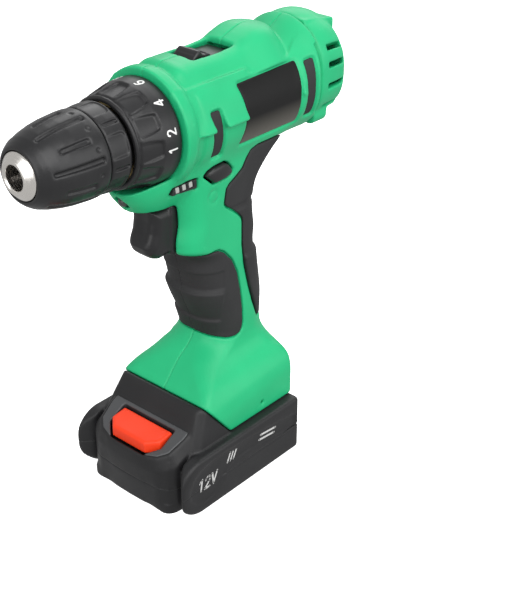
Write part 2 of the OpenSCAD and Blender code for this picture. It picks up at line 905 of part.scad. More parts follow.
module chuck_body() {
    nut_end = nut_x + nut_l;
    color(bright_steel) difference() {
        turned([[0, chuck_rear_x + 1.2], [12.6, chuck_rear_x + 1.2], [12.6, 55.2], [13.6, 55.2],
                [13.6, nut_x - 0.3], [jaw_outer_r(nut_x) - 0.4, nut_x - 0.3],
                [jaw_outer_r(nut_end) - 0.4, nut_end + 0.2], [11.2, nut_end + 0.2],
                [11.2, 81], [10.2, 84.5], [10.2, 86.1], [7.2, chuck_front_x],
                [0, chuck_front_x]]);
        on_axis(chuck_front_x - mouth_l) cylinder(h = mouth_l + 5, r = mouth_r);
        // thread for the spindle, clearance for the screw and seat for its head
        on_axis(40) cylinder(h = 15.2, r = 4.8);
        on_axis(50) cylinder(h = 12, r = 2.1);
        on_axis(59) cylinder(h = 4, r = 4.3);
        jaw_space(0.08, jaw_back + jaw_l + 0.5);
    }
}

module chuck_nut() {
    nut_end = nut_x + nut_l;
    color(dark_steel) turned([[jaw_outer_r(nut_x) + 0.15, nut_x], [14.6, nut_x],
                              [14.6, nut_end], [jaw_outer_r(nut_end) + 0.15, nut_end]]);
}

module jaw_a() {
    jaw(30);
}

module jaw_b() {
    jaw(150);
}

module jaw_c() {
    jaw(270);
}

module front_sleeve() {
    nut_end = nut_x + nut_l;
    color(hard_black) difference() {
        turned([[13.9, sleeve_split_x + 0.3], [sleeve_r - 1, sleeve_split_x + 0.3],
                [sleeve_r - 0.2, 59], [sleeve_r - 0.8, 68], [sleeve_r - 2.2, 76],
                [sleeve_r - 4.2, 82], [12.2, 85.6], [10.35, 86.1], [10.35, 84.4],
                [11.8, 81], [11.27, 80], [11.27, nut_end + 0.4], [14.65, nut_end + 0.4],
                [14.65, nut_x - 0.2], [13.9, nut_x - 0.2]]);
        // grip grooves
        for (a = [0 : 30 : 359]) on_axis(59) rotate(a)
            translate([sleeve_r - 1.6, -0.6, 0]) cube([5, 1.2, 16]);
    }
}

module rear_sleeve() {
    color(hard_black) difference() {
        turned([[12.7, chuck_rear_x + 0.2], [16.8, chuck_rear_x + 0.2], [18.4, 46],
                [sleeve_r, 49], [sleeve_r - 0.4, 53], [sleeve_r - 1.6, sleeve_split_x],
                [12.7, sleeve_split_x]]);
        for (a = [0 : 60 : 359]) on_axis(46.5) rotate(a)
            translate([sleeve_r - 1, -5, 0]) cube([5, 10, 6]);
    }
}

module chuck_screw() {
    color(dark_steel) difference() {
        union() {
            on_axis(47) cylinder(h = 12.6, r = 2);
            on_axis(59.2) cylinder(h = 2.4, r = 4.2);
        }
        for (a = [0, 90]) on_axis(60.4) rotate(a) translate([-3, -0.5, 0]) cube([6, 1, 4]);
    }
}

// ---------------------------------------------------------------- controls

module trigger() {
    color(hard_black) difference() {
        union() {
            side_plate([[trigger_back_x, 119.8], [22, 119.8], [25.4, 122.6], [26, 126],
                        [23.6, 131], [22.8, 138.3], [trigger_back_x, 138.3]], -9, 9);
            block([-4, -4.6, 125], [8, 4.6, 133]);
        }
        // hollow for the return spring
        translate([-5, 0, 129]) rotate([0, 90, 0]) cylinder(h = 12, r = 3.3);
    }
}

module trigger_spring() {
    color(bright_steel) translate([-11.6, 0, 129]) rotate([0, 90, 0])
        helix_spring(2.4, 0.4, 3, 6, 6, 10);
}

module switch_body() {
    color(hard_black) union() {
        block([-27, -9.5, 117.5], [-12.5, 9.5, 144]);
        block([-12.6, -9.5, 136.4], [-6.4, 9.5, 144]);
        block([-12.6, -9.5, 117.5], [-6.4, 9.5, 121.6]);
    }
}

module direction_selector() {
    button_y = handle_half_w + direction_travel - 0.3;
    color(hard_black) {
        for (side = [-1, 1]) intersection() {
            translate([-6.5, -button_y, 156]) rotate([-90, 0, 0]) linear_extrude(2 * button_y)
                button_outline(0);
            block([-20, side > 0 ? 13.6 : -30, 150], [10, side > 0 ? 30 : -13.6, 162]);
        }
        block([-9, -13.7, 153.4], [-4, 13.7, 158.4]);
        block([-8, -2, 145.4], [-5, 2, 153.5]);
    }
}

module heat_sink() {
    color(bright_steel) {
        block([-30, -9, 92], [-14, 9, 93.6]);
        for (x = [-29.2 : 3.4 : -14]) block([x, -9, 93.5], [x + 1.2, 9, 104]);
    }
}

module gauge_board() {
    color(hard_black) difference() {
        side_plate([[6.2, 152], [21.6, 152], [22.9, 157], [7.5, 157]], 12.8, 14.1);
        for (i = [0 : 2]) translate([9 + i * 4.6, 13.7, 153.4]) cube([2.8, 2, 2.2]);
    }
}

module work_light() {
    color([0.95, 0.95, 0.9]) union() {
        translate([27, 0, 151]) rotate([0, 90, 0]) cylinder(h = 6.6, r = 2.5);
        translate([33.6, 0, 151]) sphere(2.5);
        translate([26.1, 0, 151]) rotate([0, 90, 0]) cylinder(h = 1.2, r = 2.75);
    }
}

module terminal_block() {
    color(hard_black) block([-34, -15, 46.2], [-8, 15, 51.6]);
    color(brass_yellow) for (y = [-9, 0, 9])
        block([-32, y - 0.4, 29.4], [-20, y + 0.4, 46.3]);
}

module wires() {
    color([0.7, 0.1, 0.1]) {
        for (y = [-6, 6])
            wire([[-30, y, 51.7], [-30, y, 56], [-31, y, 61], [-34, y, 70], [-34, y, 96], [-31, y, 105],
                  [-25, y, 111], [-24, y, 114], [-24, y, 117.4]], 1.1);
        for (y = [-7, 7])
            wire([[-24, y, 144.1], [-24, y, 147], [-27, y, 152], [-38, y, 158.2], [-45, y, 160.6], [-50, y, 161],
                  [-56, y, 161.6]], 0.9);
    }
}

// ---------------------------------------------------------------- battery

// Outer shape below the deck: two round-nosed side rails and a bowed block between them
module battery_block() {
    for (side = [-1, 1]) side_plate_ear(side);
    intersection() {
        block([-bat_x, -bat_y + 1, 0], [bat_x, bat_y - 1, deck_z]);
        translate([bat_x - 160, 0, 0]) cylinder(h = deck_z, r = 160, $fn = 180);
        block([-bat_x, -bat_y + ear_w - 1, 0], [bat_x, bat_y - ear_w + 1, deck_z]);
    }
}

module side_plate_ear(side) {
    y0 = side > 0 ? bat_y - ear_w : -bat_y;
    block([-bat_x, y0, 0], [bat_x - ear_r, y0 + ear_w, deck_z]);
    translate([bat_x - ear_r, y0, ear_r]) rotate([-90, 0, 0]) cylinder(h = ear_w, r = ear_r);
}

// Hump in front of the foot
module hump_solid() {
    difference() {
        intersection() {
            side_plate([[-10, deck_z - 1], [28, deck_z - 1], [27, deck_z + 1.5],
                        [foot_front_x + 2.5, hump_z], [-10, hump_z]], -31, 31);
            translate([-10, 0, 0]) rotate([90, 0, 90]) linear_extrude(40)
                polygon([[-31, deck_z - 1], [31, deck_z - 1], [31, deck_z + 2], [26.8, hump_z],
                         [-26.8, hump_z], [-31, deck_z + 2]]);
        }
        foot_side(0.35);
    }
}

// Platform with undercut rails that slides into the foot
module platform_solid() {
    block([-38.6, -platform_half_w, rail_z + gap], [8, platform_half_w, platform_z]);
    block([-38.6, -neck_half_w, deck_z - 1], [8, neck_half_w, rail_z + gap + tiny]);
}

module battery_top() {
    color(hard_black) difference() {
        union() {
            difference() {
                battery_block();
                block([-big, -big, -1], [big, big, split_z + 0.05]);
            }
            hump_solid();
            platform_solid();
        }
        // room for the cells and the board
        block([-bat_x + shell_t, -bat_y + shell_t + 2, 5], [33.6, bat_y - shell_t - 2, 25]);
        block([-36, -20, 24.9], [3.4, 20, platform_z - 2]);
        // three contact slots, open to the rear
        for (y = [-9, 0, 9]) block([-50, y - 1.6, 28.8], [-19, y + 1.6, 50]);
        // tray, button guide and bar slot of the latch
        block([22.6, -19.2, latch_plate_z - latch_travel - 0.4], [39, 19.2, 34]);
        block([4.6, -13.4, 36], [9.4, 13.4, 60]);
        block([3.3, -13.4, 24.9], [22.7, 13.4, 39]);
        // charging socket
        translate([-bat_x - 1, 0, 20]) rotate([0, 90, 0]) cylinder(h = 12, r = 3.9);
    }
}

module battery_bottom() {
    color(hard_black) difference() {
        intersection() {
            battery_block();
            block([-big, -big, 0], [big, big, split_z]);
        }
        block([-bat_x + shell_t, -bat_y + shell_t, 1.8], [33.6, bat_y - shell_t, 30]);
        for (x = [-37.5, 36], y = [-22, 22])
            translate([x, y, -1]) cylinder(h = 20, r = 1.45);
        for (x = [-37.5, 36], y = [-22, 22]) translate([x, y, -1]) cylinder(h = 3.6, r = 3);
    }
}

module battery_cells() {
    color([0.25, 0.45, 0.65]) for (y = [-1, 0, 1])
        translate([-cell_l / 2 + 0.4, y * (cell_d + 0.4), cell_d / 2 + 2])
            rotate([0, 90, 0]) cylinder(h = cell_l, r = cell_d / 2);
}

module cell_straps() {
    x0 = -cell_l / 2 + 0.4;
    color(bright_steel) {
        block([x0 - 0.35, -22, 9], [x0 - 0.05, 3, 13.4]);
        block([x0 - 0.35, 14.6, 9], [x0 - 0.05, 22.6, 13.4]);
        block([x0 + cell_l + 0.05, -3, 9], [x0 + cell_l + 0.35, 22, 13.4]);
        block([x0 + cell_l + 0.05, -22.6, 9], [x0 + cell_l + 0.35, -14.6, 13.4]);
    }
}

module battery_board() {
    color(board_green) block([-33.5, -19, 22.2], [2, 19, 23.6]);
    color(hard_black) {
        block([-14, -8, 23.5], [-6, 2, 25.4]);
        translate([-41.4, 0, 20]) rotate([0, 90, 0]) cylinder(h = 8, r = 3.6);
        block([-39.4, -3.4, 20], [-33.6, 3.4, 23.5]);
    }
    color(brass_yellow) for (y = [-9, 0, 9], s = [-1, 1])
        block([-31, y + s * 1.1 - 0.25, 23.5], [-21, y + s * 1.1 + 0.25, 33.4]);
}

// Orange button on the tray, a plate under the deck, and the bar behind the hump
module battery_latch() {
    color(latch_orange) union() {
        side_plate([[24.2, latch_plate_z], [38.6, latch_plate_z], [38.6, 31.2], [36.6, 32.6],
                    [24.2, 33.9]],
                   -17.4, 17.4);
        block([5, -12.6, latch_plate_z], [24.3, 12.6, latch_plate_z + 2]);
        block([5.2, -12.6, 30.3], [8.8, 12.6, 46.8]);
    }
}

module latch_springs() {
    color(bright_steel) for (y = [-7, 7]) translate([30, y, 25.75])
        helix_spring(1.8, 0.3, 0.75, 3, 5, 10);
}

module battery_screws() {
    color(dark_steel) for (x = [-37.5, 36], y = [-22, 22])
        translate([x, y, 0.9]) rotate([180, 0, 0]) screw(12.5, 1.3, 2.7, 1.6);
}

housing_left();
housing_right();
rear_cap();
case_screws();
front_grip_left();
front_grip_right();
back_grip_left();
back_grip_right();
side_inserts();
side_labels();
motor_can();
motor_magnets();
motor_endcap();
armature();
pinion();
gearbox_plate();
gearbox_case();
ring_gear();
shift_ring();
planet_1a();
planet_1b();
planet_1c();
planet_2a();
planet_2b();
planet_2c();
carrier_1();
carrier_2();
spindle();
spindle_bearing();
clutch_balls();
clutch_spring();
clutch_nut();
torque_collar();
speed_selector();
shift_fork();
chuck_body();
chuck_nut();
jaw_a();
jaw_b();
jaw_c();
front_sleeve();
rear_sleeve();
chuck_screw();
trigger();
trigger_spring();
switch_body();
direction_selector();
heat_sink();
gauge_board();
work_light();
terminal_block();
wires();
battery_top();
battery_bottom();
battery_cells();
cell_straps();
battery_board();
battery_latch();
latch_springs();
battery_screws();
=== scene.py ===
"""The looks of a compact 12 V drill driver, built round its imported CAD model.

Lengths are millimetres in the model's own frame (x out of the chuck, y to the
user's left, z up) until a mesh is made, which is in metres.  Most shapes are
distance fields sampled on a grid of points: negative inside, positive outside.
A field is meshed once all its cuts and joins are done.
"""

import math

import bpy
import numpy as np
import openvdb
from mathutils import Matrix, Vector


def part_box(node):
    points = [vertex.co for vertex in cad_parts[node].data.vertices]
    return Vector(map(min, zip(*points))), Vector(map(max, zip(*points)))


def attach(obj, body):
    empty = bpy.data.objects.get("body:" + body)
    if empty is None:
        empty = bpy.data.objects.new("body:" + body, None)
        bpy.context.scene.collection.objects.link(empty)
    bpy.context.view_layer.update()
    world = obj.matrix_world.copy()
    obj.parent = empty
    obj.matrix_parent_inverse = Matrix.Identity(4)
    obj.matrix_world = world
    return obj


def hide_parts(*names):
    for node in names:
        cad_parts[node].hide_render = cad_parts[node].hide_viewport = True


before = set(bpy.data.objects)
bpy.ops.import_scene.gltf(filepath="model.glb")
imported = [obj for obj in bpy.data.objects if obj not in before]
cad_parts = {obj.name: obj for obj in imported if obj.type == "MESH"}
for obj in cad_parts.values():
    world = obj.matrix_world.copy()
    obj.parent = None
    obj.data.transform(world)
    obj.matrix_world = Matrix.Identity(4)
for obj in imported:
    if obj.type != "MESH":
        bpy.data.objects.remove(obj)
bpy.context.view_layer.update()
MM = 0.001


def corners(node):
    """Lowest and highest corner of a CAD node, in millimetres."""
    low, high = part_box(node)
    return np.array(low) / MM, np.array(high) / MM


# ------------------------------------------------------------ driving sizes

SPINDLE_LOW, SPINDLE_HIGH = corners("spindle")
AXIS_Z = (SPINDLE_LOW[2] + SPINDLE_HIGH[2]) / 2
COLLAR_LOW, COLLAR_HIGH = corners("torque_collar")
REAR_SLEEVE_LOW, REAR_SLEEVE_HIGH = corners("rear_sleeve")
FRONT_SLEEVE_LOW, FRONT_SLEEVE_HIGH = corners("front_sleeve")
CHUCK_LOW, CHUCK_HIGH = corners("chuck_body")
CAP_LOW, CAP_HIGH = corners("rear_cap")
PACK_LOW, PACK_HIGH = corners("battery_bottom")
HUMP_Z = corners("battery_top")[1][2]
SPLIT_Z = PACK_HIGH[2]

BARREL_R = 24.3  # outside of the motor's barrel
WALL = 2.5  # of the moulded shells
RUBBER = 1.4  # thickness of the soft overmould
SEAM_X = CAP_HIGH[0] + 0.3
RING_FRONT_X = COLLAR_LOW[0] - 0.35
DECK_Z = 29.8  # where the foot stands on the battery
FOOT_FRONT_X = 15.4  # front of the foot at the height of the battery's hump
SEAM_LEAN = 0.774  # slope of the seam between the foot and the hump
HUMP_TOP_X = 17.8  # front edge of the hump's top
HUMP_LEAN = 0.52  # slope of the hump's front
FINE = 1
INSIDE, OUTSIDE = -9, np.float32(9)  # field values that leave the other field alone


# ------------------------------------------------------------ field helpers


class Grid:
    """Sample points of a box, as arrays that broadcast against each other."""

    def __init__(self, low, high, step):
        self.step = step * FINE
        self.low = np.array(low, float) - 2 * self.step
        axes = [
            np.arange(a, b + 2.5 * self.step, self.step, dtype=np.float32)
            for a, b in zip(self.low, high)
        ]
        self.x = axes[0][:, None, None]
        self.y = axes[1][None, :, None]
        self.z = axes[2][None, None, :]
        self.h = self.z - AXIS_Z
        self.flank = np.abs(self.y)
        self.r = np.hypot(self.y, self.h)
        # degrees above either side, and degrees round the axis from the left side
        self.tilt = np.degrees(np.arctan2(self.h, self.flank))
        self.turn = np.degrees(np.arctan2(self.h, self.y))


def join(a, b, blend=0.0):
    """Union of two fields; blend is the size of the fillet between them."""
    if not blend:
        return np.minimum(a, b)
    near = np.maximum(blend - np.abs(a - b), 0) / blend
    return np.minimum(a, b) - near * near * (blend / 4)


def both(a, b, blend=0.0):
    """Intersection of two fields; blend is the size of the rounding."""
    return -join(-a, -b, blend)


def cut(a, b, blend=0.0):
    """Field a without field b."""
    return both(a, -b, blend)


def span(u, low, high):
    """Field of the slab low < u < high."""
    return np.abs(u - (low + high) / 2) - (high - low) / 2


def ramp(u, start, end):
    """Smooth step from 0 at start to 1 at end."""
    t = np.clip((u - start) / (end - start), 0, 1)
    return t * t * (3 - 2 * t)


def curve(u, points):
    """Smooth curve through (u, value) points with rising u."""
    us, values = np.array(points, float).T
    slopes = np.gradient(values, us)
    k = np.clip(np.searchsorted(us, u) - 1, 0, len(us) - 2)
    width = us[k + 1] - us[k]
    t = np.clip((u - us[k]) / width, 0, 1)
    return (
        values[k] * (1 + 2 * t) * (1 - t) ** 2
        + slopes[k] * width * t * (1 - t) ** 2
        + values[k + 1] * t * t * (3 - 2 * t)
        + slopes[k + 1] * width * t * t * (t - 1)
    ).astype(np.float32)


def block(g, low, high, edge=0.0):
    """Box from low to high with rounded edges."""
    qs = []
    for u, a, b in zip((g.x, g.y, g.z), low, high):
        qs.append(span(u, a, b) + edge)
    outside = np.sqrt(sum(np.maximum(q, 0) ** 2 for q in qs))
    inside = np.minimum(np.maximum(np.maximum(qs[0], qs[1]), qs[2]), 0)
    return outside + inside - edge


def outline(u, v, points):
    """Distance in the plane (u, v) to a closed outline."""
    nearest, inside = np.float32(1e9), False
    for (ax, ay), (bx, by) in zip(points, points[1:] + points[:1]):
        ex, ey = bx - ax, by - ay
        t = np.clip(((u - ax) * ex + (v - ay) * ey) / (ex * ex + ey * ey), 0, 1)
        nearest = np.minimum(nearest, (u - ax - t * ex) ** 2 + (v - ay - t * ey) ** 2)
        if ey:
            side = u < ax + (v - ay) * ex / ey
            inside = inside ^ (((ay <= v) != (by <= v)) & side)
    return np.where(inside, -1, 1) * np.sqrt(nearest)


def turned(g, profile):
    """Solid of revolution round the spindle axis; profile holds (x, radius) points."""
    radii = np.arange(0, g.r.max() + g.step, g.step / 2)
    table = outline(g.x[:, 0, :], radii[None, :], profile)
    return np.stack([np.interp(g.r[0], radii, row) for row in table]).astype(np.float32)


def tube(g, x0, x1, radius):
    """Solid cylinder round the spindle axis."""
    return both(g.r - radius, span(g.x, x0, x1))


def pin(g, centre, radius, axis):
    """Endless cylinder through a point, along the axis x, y or z."""
    if axis == "y":
        return np.hypot(g.x - centre[0], g.z - centre[2]) - radius
    if axis == "x":
        return np.hypot(g.y - centre[1], g.z - centre[2]) - radius
    return np.hypot(g.x - centre[0], g.y - centre[1]) - radius


def patch(g, points, radius):
    """Field of a shape drawn on the flank: points are (x, degrees above the side)."""
    arc = np.radians(g.tilt) * radius
    return outline(g.x, arc, [(x, math.radians(a) * radius) for x, a in points])


def soften(field):
    """Averages each sample with its neighbours, which rounds off stair steps."""
    for axis in range(3):
        padded = np.pad(field, [(1, 1) if k == axis else (0, 0) for k in range(3)], "edge")
        low = np.take(padded, range(0, field.shape[axis]), axis)
        high = np.take(padded, range(2, field.shape[axis] + 2), axis)
        field = (low + 2 * field + high) / 4
    return field


def piece_from_field(name, g, field, body, material, mirror=False, flat=0.0):
    """Meshes a field's zero surface; flat lets it merge faces where that is nearly flat."""
    shape = (g.x.shape[0], g.y.shape[1], g.z.shape[2])
    field = soften(np.broadcast_to(field, shape).astype(np.float32))
    reach = 3 * g.step
    volume = openvdb.FloatGrid(reach)
    volume.copyFromArray(np.ascontiguousarray(np.clip(field, -reach, reach)))
    points, triangles, quads = volume.convertToPolygons(0.0, flat)
    points = (points * g.step + g.low) * MM
    if mirror:
        points = points * np.array([1, -1, 1])
    faces = [tuple(map(int, f)) for f in triangles] + [tuple(map(int, f)) for f in quads]
    return make_piece(name, points, faces, body, material, flip=mirror)


def make_piece(name, points, faces, body, material, flip=False):
    """Makes a smooth piece from points in metres and puts it on a body."""
    mesh = bpy.data.meshes.new(name)
    if flip:
        faces = [f[::-1] for f in faces]
    mesh.from_pydata([tuple(p) for p in points], [], faces)
    mesh.polygons.foreach_set("use_smooth", [True] * len(mesh.polygons))
    mesh.materials.append(material)
    piece = bpy.data.objects.new(name, mesh)
    bpy.context.scene.collection.objects.link(piece)
    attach(piece, body)
    return piece


# ------------------------------------------------------------ materials


def material(name, colour, roughness, build, metal=0.0):
    """A node material; build(nodes, links, shader) adds its detail."""
    m = bpy.data.materials.new(name)
    m.use_nodes = True
    m.diffuse_color = (*colour, 1)
    nodes, links = m.node_tree.nodes, m.node_tree.links
    shader = nodes["Principled BSDF"]
    shader.inputs["Base Color"].default_value = (*colour, 1)
    shader.inputs["Roughness"].default_value = roughness
    shader.inputs["Metallic"].default_value = metal
    build(nodes, links, shader)
    return m


def noise(nodes, links, scale, detail, stretch=None):
    """Noise in the object's own coordinates; scale is in cycles per metre."""
    place = nodes.new("ShaderNodeTexCoord")
    source = place.outputs["Object"]
    if stretch:
        squeeze = nodes.new("ShaderNodeMapping")
        squeeze.inputs["Scale"].default_value = stretch
        links.new(source, squeeze.inputs["Vector"])
        source = squeeze.outputs["Vector"]
    texture = nodes.new("ShaderNodeTexNoise")
    texture.inputs["Scale"].default_value = scale
    texture.inputs["Detail"].default_value = detail
    links.new(source, texture.inputs["Vector"])
    return texture.outputs["Fac"]


def spread(nodes, links, source, low, high, start=0.3, end=0.7):
    """Maps a 0..1 value to low..high."""
    node = nodes.new("ShaderNodeMapRange")
    node.inputs["From Min"].default_value = start
    node.inputs["From Max"].default_value = end
    node.inputs["To Min"].default_value = low
    node.inputs["To Max"].default_value = high
    links.new(source, node.inputs["Value"])
    return node.outputs["Result"]


def mix_colour(nodes, links, factor, first, second):
    """Mixes two colours, or sockets, by a factor socket."""
    node = nodes.new("ShaderNodeMix")
    node.data_type = "RGBA"
    links.new(factor, node.inputs["Factor"])
    for socket in node.inputs:
        if socket.type == "RGBA":
            value = first if socket.name == "A" else second
            if isinstance(value, tuple):
                socket.default_value = (*value, 1)
            else:
                links.new(value, socket)
    return [socket for socket in node.outputs if socket.type == "RGBA"][0]


def bump(nodes, links, shader, height, depth):
    """Bump of a real depth, in millimetres."""
    node = nodes.new("ShaderNodeBump")
    node.inputs["Strength"].default_value = 1.0
    node.inputs["Distance"].default_value = depth * MM
    links.new(height, node.inputs["Height"])
    links.new(node.outputs["Normal"], shader.inputs["Normal"])


def moulded(name, colour, roughness, grain_scale, grain_depth, spec=0.5, edge_highlight=0.12):
    """Moulded plastic: grain, cloudy gloss, slight colour drift and a painted highlight that makes
    sharp edges paler.

    The grain's scale is in cycles per metre and its depth in millimetres.
    """

    def build(nodes, links, shader):
        drift = spread(nodes, links, noise(nodes, links, 35, 2), 0.0, 1.0)
        darker = tuple(c * 0.93 for c in colour)
        lighter = tuple(min(1, c * 1.05 + 0.004) for c in colour)
        body = mix_colour(nodes, links, drift, darker, lighter)
        # painted highlight: the colour is made paler on sharp edges, where light would catch them
        edge = nodes.new("ShaderNodeNewGeometry").outputs["Pointiness"]
        rim = spread(nodes, links, edge, 0.0, edge_highlight, 0.51, 0.6)
        highlight_colour = tuple(min(1, c * 1.25 + 0.05) for c in colour)
        links.new(mix_colour(nodes, links, rim, body, highlight_colour), shader.inputs["Base Color"])
        cloud = noise(nodes, links, 90, 4)
        rough = spread(nodes, links, cloud, roughness - 0.05, roughness + 0.05)
        links.new(rough, shader.inputs["Roughness"])
        bump(nodes, links, shader, noise(nodes, links, grain_scale, 2), grain_depth)
        shader.inputs["Specular IOR Level"].default_value = spec

    return material(name, colour, roughness, build)


def turned_metal(name, colour, roughness):
    """Metal with fine marks that run round the spindle axis."""

    def build(nodes, links, shader):
        marks = noise(nodes, links, 900, 2, (4, 0.25, 0.25))
        rough = spread(nodes, links, marks, roughness - 0.07, roughness + 0.1)
        links.new(rough, shader.inputs["Roughness"])
        tone = spread(nodes, links, noise(nodes, links, 60, 3), 0, 1)
        dark = tuple(c * 0.88 for c in colour)
        links.new(mix_colour(nodes, links, tone, dark, colour), shader.inputs["Base Color"])
        bump(nodes, links, shader, marks, 0.01)

    return material(name, colour, roughness, build, metal=1.0)


GREEN = moulded("housing_green", (0.012, 0.42, 0.17), 0.42, 2600, 0.012, 0.3, 0.12)
RUBBER_BLACK = moulded("grip_rubber", (0.024, 0.024, 0.025), 0.66, 1900, 0.03, 0.25, 0.05)
BLACK = moulded("dark_plastic", (0.016, 0.016, 0.017), 0.40, 2300, 0.018, 0.3, 0.05)
SATIN_BLACK = moulded("sleeve_plastic", (0.013, 0.013, 0.014), 0.34, 2600, 0.008, 0.35, 0.05)
GREY_RIM = moulded("tray_plastic", (0.055, 0.057, 0.06), 0.45, 2300, 0.02)
ORANGE = moulded("latch_orange", (0.84, 0.045, 0.008), 0.45, 1500, 0.05, 0.3)
NOSE_METAL = turned_metal("nose_steel", (0.80, 0.77, 0.73), 0.24)
STEEL = turned_metal("tool_steel", (0.45, 0.45, 0.46), 0.34)
ALLOY = turned_metal("light_alloy", (0.75, 0.76, 0.78), 0.38)
BRASS = turned_metal("brass", (0.80, 0.62, 0.30), 0.30)
COPPER = moulded("windings", (0.50, 0.20, 0.08), 0.38, 4000, 0.05)
MARK = moulded("print_white", (0.75, 0.75, 0.74), 0.5, 3000, 0.004)
LENS = moulded("clear_lens", (0.05, 0.055, 0.05), 0.12, 800, 0.004)
GAUGE_GLASS = moulded("gauge_glass", (0.42, 0.42, 0.40), 0.25, 900, 0.02)
PACK_BLACK = moulded("pack_plastic", (0.014, 0.014, 0.015), 0.44, 2000, 0.03, 0.3, 0.05)
MARK_GREY = moulded("print_silver", (0.55, 0.55, 0.54), 0.45, 3000, 0.004)
WIRE_RED = moulded("wire_cover", (0.35, 0.02, 0.015), 0.4, 1500, 0.01)


def film_build(nodes, links, shader):
    """Near black at the top, fading to a warm grey at the bottom."""
    place = nodes.new("ShaderNodeSeparateXYZ")
    links.new(nodes.new("ShaderNodeTexCoord").outputs["Object"], place.inputs["Vector"])
    fade = spread(nodes, links, place.outputs["Z"], 1, 0, (AXIS_Z - 15) * MM, (AXIS_Z - 1) * MM)
    colour = mix_colour(nodes, links, fade, (0.006, 0.006, 0.006), (0.12, 0.112, 0.095))
    links.new(colour, shader.inputs["Base Color"])
    rough = spread(nodes, links, noise(nodes, links, 120, 3), 0.34, 0.44)
    shader.inputs["Specular IOR Level"].default_value = 0.2
    links.new(rough, shader.inputs["Roughness"])
    bump(nodes, links, shader, noise(nodes, links, 1500, 2), 0.004)


FILM = material("label_film", (0.03, 0.03, 0.03), 0.35, film_build)


# ------------------------------------------------------------ housing

# Outline of the handle and foot at rising heights: (z, front x, back x, half width, corner)
HANDLE = (
    (28, 16.0, -43.6, 30.5, 3.0),
    (40, 16.0, -43.6, 30.0, 3.0),
    (44.5, 15.8, -43.5, 28.8, 3.0),
    (47.7, 15.4, -43.2, 27.2, 3.4),
    (51, 12.4, -42.8, 25.0, 5.0),
    (55, 8.8, -42.6, 21.5, 8.0),
    (60, 4.0, -42.6, 18.8, 11.5),
    (66, -3.2, -42.4, 17.5, 14.0),
    (71, -5.6, -42.0, 17.2, 14.0),
    (75, -5.0, -41.6, 17.2, 14.0),
    (90, -0.4, -40.1, 17.2, 14.0),
    (105, 3.2, -38.2, 17.2, 14.0),
    (115, 5.2, -37.3, 17.2, 14.0),
    (118, 8.6, -37.0, 17.2, 13.0),
    (120.5, 12.8, -36.6, 17.2, 12.0),
    (124, 13.6, -36.2, 17.2, 12.0),
    (134, 12.0, -36.0, 17.2, 12.5),
    (145, 12.6, -39.8, 17.3, 13.5),
    (155, 12.6, -50.5, 17.6, 15.0),
    (161, 12.4, -58.0, 17.9, 15.0),
    (170, 12.0, -62.0, 18.2, 15.0),
)
FOOT_SLOPE = 0.142  # rise of the foot towards its rear


def handle_field(g, grow=0.0):
    """Handle and foot as one loft of rounded rectangles."""
    lean = FOOT_SLOPE * np.maximum(FOOT_FRONT_X - g.x, 0) * ramp(g.z, 72, 44)
    level = np.clip(g.z - lean, HANDLE[0][0], HANDLE[-1][0])
    columns = [curve(level, [(row[0], row[k]) for row in HANDLE]) for k in range(1, 5)]
    front, back, half, corner = columns
    middle, reach = (front + back) / 2, (front - back) / 2 + grow
    corner = corner + grow
    u = np.abs(g.x - middle) - (reach - corner)
    v = g.flank - (half + grow - corner)
    outside = np.hypot(np.maximum(u, 0), np.maximum(v, 0))
    loft = outside + np.minimum(np.maximum(u, v), 0) - corner
    slope = 1 + 0.35 * ramp(g.z, 66, 60) * ramp(g.z, 46, 50)
    return both(loft / slope, span(g.z, DECK_Z + 0.35, 178), 1.0)


# Outline of the chin as (x, z); its plan is bowed in front of CHIN_BOW_X
CHIN = [(-24, 178), (-24, 138.6), (5.6, 138.6), (20, 138.9), (24.5, 140), (28.5, 142.2),
        (33, 146.6), (36.6, 150.8), (38.9, 155.2), (38.9, 178)]
CHIN_BOW_X = 13.0
CHIN_HALF = 15.6


def chin_field(g):
    """The nose under the torque collar that holds the work light."""
    reach = (CHIN[-1][0] - CHIN_BOW_X) + 0.6
    half = CHIN_HALF + 1.8 * ramp(g.x, CHIN_BOW_X, -4)
    bow = np.maximum(g.x - CHIN_BOW_X, 0) / reach
    power = 2.3
    round_plan = (bow**power + (g.flank / half) ** power) ** (1 / power)
    return both((round_plan - 1) * half, outline(g.x, g.z - 0.07 * g.y**2, CHIN), 3.0)


# How far the top of the barrel is raised behind the dome, and then falls to the cap's end
HOOD = [(-92, 2.6), (-88, 4.6), (-82, 6.6), (-76, 7.1), (-71, 6.4), (-66, 4.6), (-61, 2.5),
        (-56, 0.9), (-51, 0.1), (-46, 0), (20, 0)]


def skin_r(g):
    """Distance from the barrel's axis, which is drawn upwards under the hood."""
    return np.hypot(g.y, g.h - np.clip(g.h, 0, curve(g.x, HOOD)))


# Top of the roof as (x, height above the axis), which ends in a dome behind DOME_X
ROOF_TOP = [(-70, 20), (-60, 25.2), (-54, 28.6), (-47, 30.8), (-40, 31.2), (-33, 29.4), (-27, 27.2),
            (-20, 26.4), (-5, 26.35), (5, 26.3), (8.5, 26.2), (10.5, 25.4), (13, 23.6), (20, 22)]
ROOF_HALF = 10.5
DOME_X = -42.0


def roof_field(g):
    """Raised roof over the gearbox, with a dome at its rear end."""
    reach = np.hypot(g.y, np.maximum(DOME_X - g.x, 0) * 0.85)
    top = curve(g.x, ROOF_TOP)
    # the sides lean in towards the top
    side = ((reach - ROOF_HALF) * 7.1 - (top - g.h) * 4.5) / 8.4
    crown = g.h - top + 0.012 * g.y * g.y
    return both(both(both(crown, side, 2.6), -g.h), span(g.x, -60, 13), 1.5)


